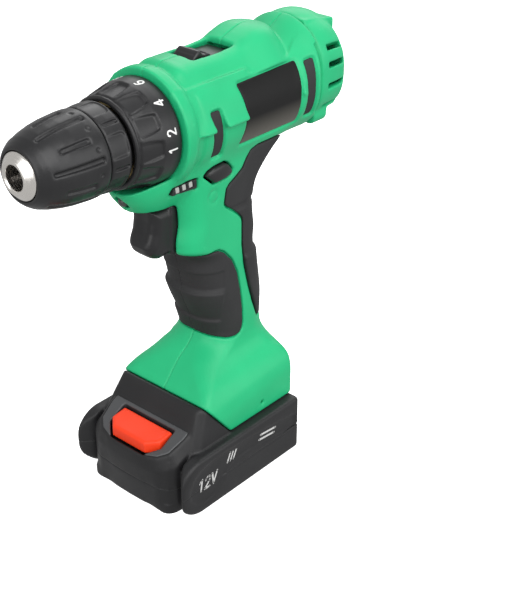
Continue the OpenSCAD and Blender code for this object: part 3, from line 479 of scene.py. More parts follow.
def head_field(g):
    """Barrel, flank panels, roof and the flared ring at the front."""
    round_r = skin_r(g)
    barrel = both(round_r - (BARREL_R - 1.3 * ramp(g.x, -68, -52)), span(g.x, SEAM_X, 16), 0.6)
    over = ramp(g.x, -46, -64) * 20
    panel_top = np.radians(g.tilt - (PANEL_TOP + over)) * BARREL_R
    panel = both(round_r - BARREL_R, span(g.x, SEAM_X, 7.8), 1.2)
    panel = both(panel, panel_top, 0.9)
    ring = turned(g, [(6, 0), (6, 21), (9.5, 22.9), (12, 23.4), (14.6, 25.4), (16, 25.7),
                      (RING_FRONT_X - 0.6, 25.6), (RING_FRONT_X - 0.5, 0)]) - 0.5
    head = join(join(barrel, panel, 0.5), roof_field(g), 1.6)
    return join(head, ring, 1.5)


# Boundaries of the soft overmould as (x, z): front panel and back spine
FRONT_ZONE = [
    (30, 119), (9.4, 118.8), (5.2, 118.4), (0.5, 118.4), (-3.4, 118.9), (-6.4, 118.5), (-10, 116.2),
    (-15.2, 110.4), (-18.6, 102.8), (-20.6, 93.1), (-21.9, 83.4), (-22.2, 75.4),
    (-21.6, 71.4), (-19.7, 69.2), (-16.5, 68.3), (-12, 68.6), (-2.4, 71.4), (30, 80),
]
BACK_ZONE = [
    (-80, 162.6), (-31, 162), (-26.6, 160.6), (-23.9, 157), (-21.6, 153.2), (-17.7, 150.7),
    (-12.9, 148.2), (-11.2, 146.4), (-9.8, 139.3), (-10.9, 137.6), (-18.8, 131.4), (-21.3, 128.6),
    (-21.5, 126.4), (-21.4, 115.1), (-22.7, 104.3), (-25.5, 92.7), (-28.3, 83.4), (-32.6, 72.4),
    (-80, 66),
]
# Inserts and label as (x, degrees above the side), which are grown by a corner radius
INSERTS = [
    [(2.4, 16.2), (-0.4, -35.2), (-3.8, -35.2), (-1.0, 16.2)],
    [(-60.1, 32), (-60.3, -28.2), (-63.7, -28.2), (-63.5, 32)],
]
LABEL = [(-17.2, 34.2), (-18.6, 14), (-18.8, -8), (-17.4, -30.2), (-53, -30.2), (-53.4, 36.2)]
CORNER = 1.2
PANEL_TOP = 41.0  # degrees above the side at which the flank panels end
VENT_ANGLES = (-33, -5, 20, 38)  # of the rear cap's slots
CAP_SCREWS = ((-14.8, 18.2), (14.8, -16.6))  # as (y, height above the axis)
SLIDER_WINDOW = ((-27.2, -7.6), (-1.6, 7.6))
# Direction bar and charge gauge as (x, z), and the y at which their recesses end
BUTTON = [(2, 156.5), (0.7, 158.4), (-2.5, 159.7), (-8.8, 160.2), (-11.9, 158.5), (-15.1, 154.7),
          (-14.4, 153), (-11.2, 152.2), (-2.9, 151.9)]
GAUGE = [(20.6, 152.9), (19.4, 156.5), (5.2, 156.7), (5.3, 151.8)]
POCKET_Y = 12.6
# Screws of the right half as (x, z)
SCREW_SPOTS = [(-44, 201.5), (14, 146), (-26.5, 78), (-8, 60), (-36.5, 57.5)]
MID_LAP = 0.2  # how far the left and right pieces reach past the middle


def foot_seam(g):
    """Distance in front of the leaning seam between the foot and the battery's hump."""
    return (g.x - FOOT_FRONT_X + SEAM_LEAN * (HUMP_Z - g.z)) / math.hypot(1, SEAM_LEAN)


def hump_front(g):
    """How far a point is in front of the hump's leaning front, along x."""
    return g.x - HUMP_TOP_X - (HUMP_Z - g.z) * HUMP_LEAN


def outer_field(g):
    """Outer form of the housing halves, before recesses and the inside."""
    body = join(handle_field(g), chin_field(g), 3.0)
    body = join(body, head_field(g), 3.5)
    # room for the collar over the chin
    body = cut(body, both(g.r - (COLLAR_HIGH[1] + 0.5), RING_FRONT_X - g.x), 0.6)
    return both(body, np.where(g.z < 58, foot_seam(g), INSIDE), 0.8)


def inside_field(g):
    """All that is hollow inside the two halves, as one field."""
    rear = tube(g, SEAM_X - 2, -18, BARREL_R - WALL - 0.4)
    front = join(tube(g, -18.5, 40, 19.8), tube(g, -6, 6, 22))
    grip = both(handle_field(g, -3.0), span(g.z, 49, 160))
    hollow = join(join(rear, front), grip)
    # room for the battery's platform and its neck, the latch's hook, the terminals,
    # the trigger and the speed slider
    for low, high in (
        ((-40.8, -26, 34), (30, 26, 44.2)),
        ((-40.8, -23, 28), (30, 23, 34.2)),
        ((4.4, -14, 43), (9.8, 14, 48)),
        ((-38, -17, 43), (-6, 17, 52)),
        ((0, -8.5, 119.6), (40, 8.5, 145.4)),
        ((-31, -8, AXIS_Z + 19), (2.6, 8, AXIS_Z + 23.9)),
    ):
        hollow = join(hollow, block(g, low, high, 0.4))
    return hollow


def recess_field(g):
    """Shapes cut into the outside: window, light, button, inserts and label."""
    (x0, y0), (x1, y1) = SLIDER_WINDOW
    window = block(g, (x0, y0, AXIS_Z + 20), (x1, y1, AXIS_Z + 40), 1.2)
    light = both(pin(g, (0, 0, 151), 2.9, "x"), 26 - g.x)
    beam = block(g, (26, -3.6, 148.8), (45, 3.6, 152.2), 1.0)
    cuts = join(join(window, light), beam)
    cuts = join(cuts, both(outline(g.x, g.z, BUTTON) - 0.5, POCKET_Y - g.flank))
    floor = BARREL_R - 1.3 - skin_r(g)
    for points in INSERTS:
        cuts = join(cuts, both(patch(g, points, BARREL_R) - CORNER - 0.4, floor))
    cuts = join(cuts, both(patch(g, LABEL, BARREL_R) - CORNER - 0.5, BARREL_R - 0.9 - skin_r(g)))
    mould_mark = np.abs(np.hypot(g.x + 3.1, g.z - 145.4) - 2.9) - 0.35
    return join(cuts, both(mould_mark, 16.8 - g.flank))


def housing_halves():
    """The two green shells, with the rubber's beds cut into them."""
    g = Grid((SEAM_X - 1, 0, DECK_Z - 1), (41, 33, AXIS_Z + 32), 0.55)
    body = outer_field(g)
    bed = -handle_field(g, -RUBBER - 0.25)
    clear_of_head = BARREL_R + 0.2 - g.r
    body = cut(body, both(outline(g.x, g.z, FRONT_ZONE), bed), 0.5)
    body = cut(body, both(both(outline(g.x, g.z, BACK_ZONE), bed), clear_of_head), 0.5)
    seam_groove = both(span(g.x, SEAM_X + 0.3, SEAM_X + 1.9), BARREL_R - 1.7 - skin_r(g))
    seam_groove = both(seam_groove, (np.abs(g.tilt - 6) - 39) * 0.4)
    body = cut(body, seam_groove, 0.4)
    body = cut(body, recess_field(g), 0.7)
    body = cut(body, inside_field(g), 0.4)
    body = both(body, SEAM_X + 0.1 - g.x, 0.4)
    body = both(body, -MID_LAP - g.y)
    # the charge gauge and a small hole are on the left, the screws on the right
    left = cut(body, both(outline(g.x, g.z, GAUGE) - 0.2, POCKET_Y - g.flank), 0.5)
    left = cut(left, both(pin(g, (-20.8, 0, 35.0), 1.05, "y"), 22 - g.y), 0.2)
    right = body
    for x, z in SCREW_SPOTS:
        right = cut(right, both(pin(g, (x, 0, z), 2.9, "y"), 11 - g.y), 0.5)
    for name, mirror, node, half in (
        ("shell_left", False, "housing_left", left),
        ("shell_right", True, "housing_right", right),
    ):
        piece = piece_from_field(name, g, half, "root", GREEN, mirror)
        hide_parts(node)


def grips():
    """Soft overmould: finger panels in front, spine and palm pad behind."""
    g = Grid((-66, 0, 64), (16, 20, 166), 0.45)
    # the front swells in two steps and is a little sunk above them
    step_1 = ramp(g.z, 96.6, 95.4) * np.clip((g.z - 81) / 14, 0, 1)
    step_2 = ramp(g.z, 80.2, 79.0) * np.clip((g.z - 66) / 13, 0, 1)
    finger = (1.4 * step_1 + 1.0 * step_2) * ramp(g.x, -10, -8)
    hollow = 0.6 * ramp(g.z, 96.6, 97.6) * ramp(g.z, 107, 106) * ramp(g.x, -10.5, -9.0)
    skin = cut(handle_field(g, 0.1) - finger + hollow, handle_field(g, -RUBBER), 0.3)
    front_skin = both(skin, outline(g.x, g.z, FRONT_ZONE) + 0.55, 0.8)
    pad = 1.2 * ramp(g.z, 110, 108) * ramp(g.z, 70, 88)
    notch = 0.5 * ramp(g.z, 133, 134) * ramp(g.z, 137, 136)
    spine = cut(handle_field(g, 0.1) - pad + notch, handle_field(g, -RUBBER), 0.3)
    spine = both(spine, outline(g.x, g.z, BACK_ZONE) + 0.55, 0.8)
    spine = cut(spine, g.r - (BARREL_R + 0.5), 0.5)
    for name, field in (("front_grip", front_skin), ("back_grip", spine)):
        half = both(field, -MID_LAP - g.y)
        for side, mirror in (("left", False), ("right", True)):
            piece = piece_from_field(f"{name}_{side}_skin", g, half, "root", RUBBER_BLACK, mirror)
            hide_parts(f"{name}_{side}")


def rear_cap():
    """Vented cap behind the motor, with a hood on top and two screw lugs."""
    g = Grid((CAP_LOW[0] - 2, -30, AXIS_Z - 27), (SEAM_X + 1, 30, AXIS_Z + 33), 0.45)
    back = CAP_LOW[0]
    taper = [(back, 6.2), (back + 1.6, 3.9), (back + 4, 2.5), (back + 8, 1.9), (SEAM_X, 1.5)]
    shrink = curve(g.x, taper)
    bore = BARREL_R - 5.4
    round_r = skin_r(g)
    skin = both(round_r - (BARREL_R - shrink), span(g.x, back, SEAM_X - 0.7), 1.6)
    # raised flat at the top of the rear edge, and the lug of the lower screw
    wedge = both(span(g.y, -6.8, 11.4), g.h - 24.9 - 0.15 * (g.x - back), 1.0)
    wedge = both(both(wedge, span(g.x, back - 1.0, SEAM_X - 0.7), 0.8), 12 - g.h)
    skin = join(skin, wedge, 0.8)
    y, h = CAP_SCREWS[1]
    lug = both(pin(g, (0, y, AXIS_Z + h), 3.9, "x"), span(g.x, SEAM_X - 10.4, SEAM_X - 0.7), 1.0)
    skin = join(skin, lug, 2.0)
    skin = cut(skin, tube(g, back + WALL, SEAM_X + 2, bore), 0.4)
    for angle in VENT_ANGLES:
        turn = math.radians(angle)
        across = g.h * math.cos(turn) - g.flank * math.sin(turn)
        along = g.h * math.sin(turn) + g.flank * math.cos(turn)
        slot = both(both(np.abs(across) - 1.25, span(g.x, back + 3.0, back + 15.4)), 10 - along)
        skin = cut(skin, slot, 0.8)
    for y, h in CAP_SCREWS:
        hole = both(pin(g, (0, y, AXIS_Z + h), 2.75, "x"), g.x - (SEAM_X - 8.2))
        skin = cut(skin, hole, 0.4)
    # front rim that sits in the halves, behind a shadow gap
    rim = both(round_r - (BARREL_R - 2.6), span(g.x, SEAM_X - 1.2, SEAM_X - 0.05))
    rim = cut(rim, g.r - bore)
    piece = piece_from_field("vented_cap", g, join(skin, rim), "root", GREEN)
    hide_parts("rear_cap")


def side_panels():
    """Films of the side labels, and the black inserts in front of and behind them."""
    g = Grid((-66, -27, AXIS_Z - 17), (5, 27, AXIS_Z + 20), 0.4)
    skin = np.maximum(skin_r(g) - (BARREL_R - 0.5), 22 - g.r)
    film = both(patch(g, LABEL, BARREL_R) - CORNER - 0.1, skin, 0.2)
    piece = piece_from_field("label_films", g, film, "root", FILM)
    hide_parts("side_labels")
    fill = OUTSIDE
    for points in INSERTS:
        skin = np.maximum(skin_r(g) - (BARREL_R - 0.8), 21.6 - g.r)
        strip = both(patch(g, points, BARREL_R) - CORNER - 0.1, skin, 0.3)
        fill = join(fill, strip)
    piece = piece_from_field("vent_inserts", g, fill, "root", RUBBER_BLACK)
    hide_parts("side_inserts")


def small_controls():
    """Direction bar, charge gauge and speed slider."""
    g = Grid((-17, -20, 150), (4, 20, 162), 0.3)
    face = outline(g.x, g.z, BUTTON)
    crown = g.flank - (19.3 - 0.016 * ((g.x + 6.5) ** 2 + 2 * (g.z - 156) ** 2))
    bar = both(both(face + 0.25, crown, 1.4), 11 - g.flank)
    bar = join(bar, block(g, (-9, -12, 153.6), (-4, 12, 157.6), 0.5))
    piece = piece_from_field("direction_bar_caps", g, bar, "direction_bar", SATIN_BLACK)
    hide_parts("direction_selector")

    g = Grid((4, 12, 151), (22, 17.6, 158.5), 0.22)
    plate = both(outline(g.x, g.z, GAUGE) + 0.25, span(g.y, 12.9, 15.7), 0.5)
    lights = OUTSIDE
    for x in (8.9, 12.9, 16.9):
        lean = x + (g.z - 154.6) * 0.12
        spot = both(both(np.abs(g.x - lean) - 1.15, np.abs(g.z - 154.7) - 1.35, 0.4), 13.2 - g.y)
        lights = join(lights, spot)
    board = cut(plate, both(lights - 0.2, 15.0 - g.y), 0.3)
    piece = piece_from_field("gauge_plate", g, board, "root", BLACK)
    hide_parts("gauge_board")
    piece = piece_from_field("gauge_lights", g, both(lights, g.y - 15.35, 0.3), "root", GAUGE_GLASS)

    g = Grid((-28, -9, AXIS_Z + 21.5), (3, 9, AXIS_Z + 29), 0.3)
    low, high = corners("speed_selector")
    plate_low = (low[0] + 0.1, low[1] + 0.1, AXIS_Z + 22.3)
    plate = block(g, plate_low, (high[0] - 0.1, high[1] - 0.1, AXIS_Z + 23.5), 0.4)
    profile = [(-15.2, 22.8), (-14.8, 24.6), (-13.4, 25.4), (-11.4, 25.3), (-9.6, 25.9), (-8.6, 27.5),
               (-7.4, 27.6), (-6.4, 27.0), (-3.6, 24.4), (-3.2, 22.8)]
    knob = both(outline(g.x, g.h, profile), g.flank - 6.1, 1.0)
    for x in (-12.6, -5.2):
        rib = block(g, (x - 0.35, -5.2, AXIS_Z + 23), (x + 0.35, 5.2, AXIS_Z + 25.9), 0.3)
        knob = join(knob, rib, 0.5)
    piece = piece_from_field("speed_slider", g, join(plate, knob, 0.6), "shift_slider", SATIN_BLACK)
    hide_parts("speed_selector")


def trigger():
    """Finger trigger with a hollowed face and a lip at its foot."""
    g = Grid((-5, -10, 118), (32, 10, 146), 0.35)
    side = [
        (0, 138.2), (0, 121.8), (2, 121.4), (10, 120.4), (15.2, 120.1), (20.2, 119.6), (23.2, 120.8),
        (26.2, 123.6), (27.4, 126.9), (26.8, 129.6), (25.0, 133.6), (24.2, 138.2), (24.2, 144.2),
        (8, 144.2), (8, 138.2),
    ]
    section = outline(g.x, g.z, side) + 0.1
    hollow = 0.8 * ramp(g.x, 16, 27) * np.clip(1 - (g.y / 6) ** 2, 0, 1) * ramp(g.z, 127, 131)
    radius, half = 5.0, 7.9
    u, v = section + hollow + radius, g.flank - half + radius
    face = np.hypot(np.maximum(u, 0), np.maximum(v, 0)) + np.minimum(np.maximum(u, v), 0) - radius
    root = both(both(section, g.flank - half, 1.0), g.x - 14)
    body = join(face, root, 1.5)
    piece = piece_from_field("finger_trigger", g, body, "trigger", SATIN_BLACK)
    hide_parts("trigger")


# ------------------------------------------------------------ collar and chuck


def sector(g, angle, count=1):
    """Arc length away from an angle, or from the nearest of count evenly spaced ones."""
    period = 360 / count
    away = (g.turn - angle + period / 2) % period - period / 2
    return np.radians(away)


def collar():
    """Torque collar: smooth band for the numbers, then ribs and a front rim."""
    x0, x1 = COLLAR_LOW[0], COLLAR_HIGH[0]
    g = Grid((x0 - 0.5, -24, AXIS_Z - 24), (x1 + 0.5, 24, AXIS_Z + 24), 0.36)
    body = turned(g, [(x0, 22.5), (x0 + 0.5, 22.9), (26, 22.85), (30, 22.6), (35, 21.6),
                      (40.0, 20.3), (40.4, 19.2), (41.1, 19.1), (41.5, 20.0), (42.3, 19.8), (x1, 19.3),
                      (x1, 17.6), (38, 17.6), (38, 18.1), (x0, 18.1)])
    across = np.abs(sector(g, 30, 12))
    reach = np.radians(curve(g.x, [(29.5, 7.6), (32, 9.2), (36, 11.0), (40.2, 11.9), (43, 12)]))
    pocket = both((across - reach) * 20, span(g.x, 30.2, 40.1), 0.9)
    floor = 21.25 - 0.145 * (g.x - 30.2)
    body = cut(body, both(pocket, floor - g.r, 0.6), 0.7)
    piece = piece_from_field("torque_ring", g, body, "collar", SATIN_BLACK)
    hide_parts("torque_collar")


# Strokes of the dial's figures in a box one unit wide and 1.5 high
FIGURES = {
    "1": [[(0.12, 1.12), (0.55, 1.5), (0.55, 0)]],
    "2": [[(0.02, 1.12), (0.12, 1.38), (0.5, 1.5), (0.86, 1.38), (0.95, 1.1), (0.8, 0.78),
           (0.0, 0), (1, 0)]],
    "4": [[(0.78, 0), (0.78, 1.5), (0.0, 0.45), (1.02, 0.45)]],
    "6": [[(0.82, 1.42), (0.45, 1.42), (0.12, 1.0), (0.02, 0.48), (0.2, 0.08), (0.5, 0), (0.84, 0.1),
           (0.98, 0.45), (0.84, 0.8), (0.5, 0.88), (0.16, 0.76)]],
    "8": [[(0.5, 0.8), (0.14, 0.98), (0.1, 1.26), (0.5, 1.5), (0.9, 1.26), (0.86, 0.98), (0.5, 0.8),
           (0.06, 0.58), (0.04, 0.2), (0.5, 0), (0.96, 0.2), (0.94, 0.58), (0.5, 0.8)]],
    "0": [[(0.5, 0), (0.1, 0.2), (0.02, 0.75), (0.1, 1.3), (0.5, 1.5), (0.9, 1.3), (0.98, 0.75),
           (0.9, 0.2), (0.5, 0)]],
    "V": [[(0, 1.5), (0.5, 0), (1, 1.5)]],
}


def strokes(lines, width):
    """Flat quads and round joints that draw polylines, as (points, faces) in a plane."""
    points, faces = [], []
    angles = np.linspace(0, 2 * math.pi, 10, endpoint=False)
    for line in lines:
        for (ax, ay), (bx, by) in zip(line, line[1:]):
            # short quads, which can follow the collar's curve
            length = math.hypot(bx - ax, by - ay)
            steps = max(1, round(length / 0.4))
            nx, ny = (by - ay) / length * width / 2, (ax - bx) / length * width / 2
            for k in range(steps):
                p, q = k / steps, (k + 1) / steps
                n = len(points)
                for t, s in ((p, 1), (q, 1), (q, -1), (p, -1)):
                    points.append((ax + (bx - ax) * t + nx * s, ay + (by - ay) * t + ny * s))
                faces.append((n, n + 1, n + 2, n + 3))
        for x, y in line:
            n = len(points)
            points += [(x + width / 2 * math.cos(a), y + width / 2 * math.sin(a)) for a in angles]
            faces.append(tuple(range(n, n + len(angles))))
    return points, faces


NARROW = 0.8  # width of a figure's box against its unit


def figures(text, height, gap):
    """Polylines of a short run of figures, centred on the origin."""
    unit = height / 1.5
    advance = (1 + gap) * unit * NARROW
    start = -(len(text) * advance - gap * unit * NARROW) / 2
    return [
        [(start + k * advance + x * unit * NARROW, y * unit - height / 2) for x, y in line]
        for k, letter in enumerate(text)
        for line in FIGURES[letter]
    ]


NUMBERS_X = 25.9  # middle of the collar's smooth band


def dial_numbers():
    """Torque numbers printed round the collar's smooth band."""
    points, faces = [], []
    # degrees round the axis, and the number there
    marks = [(-4, "1"), (14.5, "2"), (46.5, "4"), (78.5, "6"), (111, "8"), (144, "10"), (178, "12"),
             (212, "14"), (246, "16")]
    for angle, text in marks:
        flat, quads = strokes(figures(text, height=4.4, gap=0.3), width=0.72)
        start = len(points)
        for u, v in flat:
            x = NUMBERS_X + v
            radius = float(np.interp(x, [21, 26, 30], [22.9, 22.85, 22.6])) + 0.05
            turn = math.radians(angle) + u / radius
            y, z = radius * math.cos(turn), AXIS_Z + radius * math.sin(turn)
            points.append((x * MM, y * MM, z * MM))
        faces += [tuple(start + k for k in reversed(f)) for f in quads]
    piece = make_piece("dial_numbers", points, faces, "collar", MARK)


SLEEVE_R = 18


def sleeves():
    """Rear and front sleeves and nose of the keyless chuck."""
    x0, x1 = REAR_SLEEVE_LOW[0], REAR_SLEEVE_HIGH[0]
    g = Grid((x0 - 0.5, -20, AXIS_Z - 20), (x1 + 0.5, 20, AXIS_Z + 20), 0.32)
    body = turned(g, [(x0, 12.6), (x0, 17.4), (x0 + 0.8, 18.3), (x0 + 2, 18.75), (50, 18.7),
                      (x1 - 0.5, 18.3), (x1, 17.8), (x1, 12.6)])
    pad = both(np.abs(sector(g, 20, 6)) * SLEEVE_R - 4.6, span(g.x, x0 + 1.9, x1 + 2), 2.2)
    body = cut(body, both(pad, 18.05 - g.r), 0.5)
    groove = both(np.abs(sector(g, 50, 6)) * SLEEVE_R - 0.75, span(g.x, x0 + 1.9, x1 - 1.2), 0.9)
    body = cut(body, both(groove, 17.7 - g.r), 0.5)
    piece = piece_from_field("chuck_rear_sleeve", g, body, "output", SATIN_BLACK)
    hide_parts("rear_sleeve")

    x0, x1 = FRONT_SLEEVE_LOW[0], FRONT_SLEEVE_HIGH[0]
    g = Grid((x0 - 0.5, -20, AXIS_Z - 20), (x1 + 0.5, 20, AXIS_Z + 20), 0.34)
    taper = [(60, 18.6), (68, 18.0), (73, 17.2), (78, 16.0), (82, 14.6)]
    body = turned(g, [(x0, 13.6), (x0, 17.8), (x0 + 0.5, 18.4), (x0 + 2, 18.6), *taper,
                      (84.2, 13.2), (85.7, 11.9), (x1, 11.2), (x1, 10.3),
                      (72.5, 10.3), (72.5, 15.2), (62, 15.2), (62, 13.6)])
    skin = curve(g.x, [(x0, 18.6), *taper, (x1, 11.5)])
    for angle, start, end, depth in ((10, x0 + 3.2, 80.5, 1.25), (38, x0 + 7.2, 75.5, 1.05)):
        width = 1.05 - 0.012 * (g.x - start)
        slot = both(np.abs(sector(g, angle, 6)) * g.r - width, span(g.x, start, end), 1.0)
        body = cut(body, both(slot, skin - depth - g.r), 0.9)
    for angle in (24, 52):
        dimple = np.hypot(np.abs(sector(g, angle, 6)) * g.r, g.x - (x0 + 5.2)) - 0.8
        body = cut(body, both(dimple, 18.1 - g.r), 0.6)
    piece = piece_from_field("chuck_front_sleeve", g, body, "chuck_sleeve", SATIN_BLACK)
    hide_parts("front_sleeve")

    x0, x1 = CHUCK_LOW[0], CHUCK_HIGH[0]
    g = Grid((x0 - 0.5, -14, AXIS_Z - 14), (x1 + 0.5, 14, AXIS_Z + 14), 0.3)
    nose = turned(g, [(x0, 4.6), (x0, 12.4), (62, 12.4), (62.6, 10.0), (x1 - 2.9, 10.05),
                      (x1 - 0.6, 7.5), (x1, 6.9), (x1, 5.9), (x1 - 0.6, 5.2), (60, 5.2), (60, 4.6)])
    # the jaws' tracks, which near the axis towards the front
    slant = (x1 - g.x) * 0.27
    for angle in (90, 210, 330):
        away = sector(g, angle)
        track = both(np.abs(np.sin(away)) * g.r - 1.5, 4.2 + slant - 1.6 - g.r)
        track = both(both(track, g.r - (4.6 + slant)), np.abs(away) * 10 - 9)
        nose = cut(nose, both(track, x1 - 22 - g.x), 0.3)
    piece = piece_from_field("chuck_nose", g, nose, "output", NOSE_METAL)
    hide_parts("chuck_body")


# ------------------------------------------------------------ battery

# Radius and x of the round front ends of the battery's sides
EAR_R = 14.9
EAR_X = 26.8
# Plans as (x, y): the tray's flat, the block under it, and the latch button
TRAY = [
    (10, 24.6), (27, 24.6), (35.6, 22.8), (39.4, 18.5), (41.2, 12.5), (41.8, 5),
    (41.8, -5), (41.2, -12.5), (39.4, -18.5), (35.6, -22.8), (27, -24.6), (10, -24.6),
]
BLOCK = [
    (10, 27.4), (33.6, 27.4), (35.2, 27.0), (38.6, 23.9), (41.2, 18.9), (42.4, 9), (42.6, 0),
    (42.4, -9), (41.2, -18.9), (38.6, -23.9), (35.2, -27.0), (33.6, -27.4), (10, -27.4),
]
BUTTON_PLAN = [(25.9, 16), (34.4, 16), (39.4, 10.6), (39.4, -10.6), (34.4, -16), (25.9, -16)]


def tray_top(x):
    """Height of the tray's flat, which falls towards the front."""
    return 35.4 - 0.51 * (x - 27.6)


def pack_field(g):
    """Outer form of the battery: base with round ears, bowed front, hump and tray."""
    x0 = PACK_LOW[0] - 0.7
    side = both(
        join(
            np.hypot(g.x - EAR_X, g.z - EAR_R) - EAR_R,
            block(g, (x0, -60, 0), (EAR_X, 60, DECK_Z), 1.6),
        ),
        g.x - PACK_HIGH[0],
    )
    base = both(side, g.flank - 35.9, 2.4)
    back_round = np.hypot(np.maximum(x0 + 1.8 - g.x, 0), np.maximum(g.flank - 34.1, 0)) - 1.8
    base = both(base, np.where((g.x < x0 + 1.8) & (g.flank > 34.1), back_round, INSIDE))
    # the ears' inner faces, which spread towards the front
    valley = (g.x + 1.15 * (36 - g.flank) - 41.9) / 1.52
    ears = both(both(base, 29.2 - g.flank, 1.6), valley, 1.4)
    rear = both(base, g.x - 20)
    bridge = both(both(base, g.flank - 31), both(g.x - 33, g.z - 23), 1.5)
    base = join(join(rear, bridge), ears)
    # front block, leaning back below and bevelled up to the tray's flat
    top = tray_top(g.x)
    lean = 0.077 * np.maximum(22 - g.z, 0) * ramp(g.flank, 24, 12)
    t = np.clip((g.z - (top - 5.6)) / 5.6, 0, 1)
    wall = (1 - t) * outline(g.x + lean, g.y, BLOCK) + t * outline(g.x, g.y, TRAY)
    front = both(both(wall, g.z - top, 0.9), 12 - g.x)
    front = both(front, -g.z, 1.4)
    for y in (-22, 22):
        front = join(front, both(pin(g, (36, y, 0), 3.9, "z"), np.abs(g.z - 2.4) - 2.4, 0.6), 1.5)
    body = join(base, front, 0.4)
    # hump, narrower where it goes inside the foot
    half = 26.8 + (HUMP_Z - g.z) * 0.22
    slope = hump_front(g) / math.hypot(1, HUMP_LEAN)
    corner = hump_front(g) * 0.6 + (g.flank - half) * 0.8 + 1.9
    hump = both(both(slope, g.flank - half, 1.4), corner, 1.0)
    hump = both(hump, span(g.z, 20, HUMP_Z), 1.8)
    hump = both(hump, 0.35 - foot_seam(g), 0.3)
    platform = block(g, (x0 + 1.2, -25.4, 20), (15, 25.4, 43.6), 0.8)
    neck = both(span(g.z, 30.2, 34.6), 22.4 - g.flank)
    platform = cut(platform, both(neck, 2.5 - g.x), 0.3)
    for y in (-12.6, -4.2, 4.2, 12.6):
        platform = cut(platform, block(g, (x0 - 2, y - 1.5, 36), (-12, y + 1.5, 50), 0.4), 0.2)
    body = join(join(body, hump), platform)
    body = cut(body, both(outline(g.x, g.y, BUTTON_PLAN) - 0.75, 25.2 - g.z), 0.8)
    # room for the latch's plate and hook
    plate_room = block(g, (4.6, -13.8, 25.2), (27, 13.8, 31.2))
    hook_room = block(g, (4.6, -13.8, 25.2), (9.8, 13.8, 49))
    return cut(body, join(plate_room, hook_room), 0.2)


def tray_rim():
    """Paler flat that runs round the button's well."""
    g = Grid((18, -26, 26), (43, 26, 41), 0.4)
    plan = both(outline(g.x, g.y, TRAY) + 0.9, 0.9 - outline(g.x, g.y, BUTTON_PLAN), 0.4)
    hump = hump_front(g) / math.hypot(1, HUMP_LEAN)
    rim = both(both(plan, np.abs(g.z - tray_top(g.x) + 0.5) / 1.12 - 0.75, 0.3), 0.1 - hump)
    piece = piece_from_field("tray_rim", g, rim, "battery", GREY_RIM)


# Outline, as (x, z), of the recessed band on the battery's sides
BAND = [
    (25.5, 4.9), (31.0, 6.6), (34.6, 10.6), (35.4, 15.6), (33.2, 20.6), (28.5, 24.0), (22, 25.6),
    (12, 26), (-8, 25), (-37, 21.9), (-39.4, 20.4), (-39.7, 16.2), (-38.4, 14.6), (-4, 18.2),
    (5, 17.6), (11, 14.6), (16.6, 8.4), (20, 5.6),
]
BAND_Y = 35.25
MARKS_Y = BAND_Y + 0.07


def battery():
    """Battery pack in two shells, split above the base."""
    g = Grid((PACK_LOW[0] - 1, -37, -0.5), (PACK_HIGH[0] + 2, 37, HUMP_Z + 1), 0.55)
    body = pack_field(g)
    band = outline(g.x, g.z, BAND)
    body = cut(body, both(band, BAND_Y - g.flank, 0.5), 0.5)
    # groove between the shells, which runs round behind x = -30 only
    split = both(np.abs(g.z - SPLIT_Z) - 0.28, np.minimum(35.2 - g.flank, g.x + 41.6))
    body = cut(body, both(split, np.where(g.x < -30, INSIDE, -INSIDE)), 0.3)
    # the shells overlap by a lip, except behind
    upper = both(body, SPLIT_Z + 0.03 - 0.8 * ramp(g.x, -34, -30) - g.z)
    lower = both(body, g.z - SPLIT_Z)
    for x in (-37.5, 36):
        for y in (-22, 22):
            lower = cut(lower, both(pin(g, (x, y, 0), 2.7, "z"), g.z - 3.4), 0.3)
    for name, field, node in (
        ("pack_upper", upper, "battery_top"),
        ("pack_lower", lower, "battery_bottom"),
    ):
        piece = piece_from_field(name, g, field, "battery", PACK_BLACK, flat=0.02)
        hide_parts(node)


def pack_marks():
    """Voltage figures and bars printed in the bands on the battery's sides."""
    bars = [[(2.2 + 2.1 * k, -2.4), (3.6 + 2.1 * k, 2.4)] for k in range(3)]
    dashes = [[(17.6, -1.3), (28.4, -1.3)], [(18.2, 1.2), (28.9, 1.2)]]
    points, faces = [], []
    for side in (1, -1):
        # centre as (x, z), and rise per millimetre along the mark
        for lines, width, (x, z), mirror, rise in (
            (figures("12V", height=6.0, gap=0.35), 1.0, (23.4, 15.6), side < 0, 0.0),
            (bars, 0.9, (11.7, 21.3), False, 0.0),
            (dashes, 1.1, (4.6, 22.5), False, 0.1),
        ):
            flat, quads = strokes(lines, width)
            start = len(points)
            for u, v in flat:
                along = x + (u if mirror else -u) - 0.18 * v
                v += rise * (along - x)
                points.append((along * MM, side * MARKS_Y * MM, (z + v) * MM))
            outward = (side > 0) != mirror
            faces += [tuple(start + k for k in (f if outward else f[::-1])) for f in quads]
    piece = make_piece("pack_marks", points, faces, "battery", MARK_GREY)


def latch():
    """Orange release button with its hidden hook."""
    g = Grid((4, -19, 27.5), (41, 19, 48), 0.35)
    top = 36.0 - 0.13 * (g.x - 26)
    plan = outline(g.x, g.y, BUTTON_PLAN)
    button = both(both(plan + 0.12, g.z - top, 1.6), 28.5 - g.z)
    # plate under the hump, with a hook that stands at its rear
    plate = block(g, (5.2, -13, 28.6), (26, 13, 30.2), 0.4)
    hook = block(g, (5.2, -13, 28.6), (9.2, 13, 46.6), 0.4)
    piece = piece_from_field("latch_button", g, join(join(button, plate), hook), "latch", ORANGE)
    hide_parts("battery_latch")


# ------------------------------------------------------------ finish of the CAD's own pieces

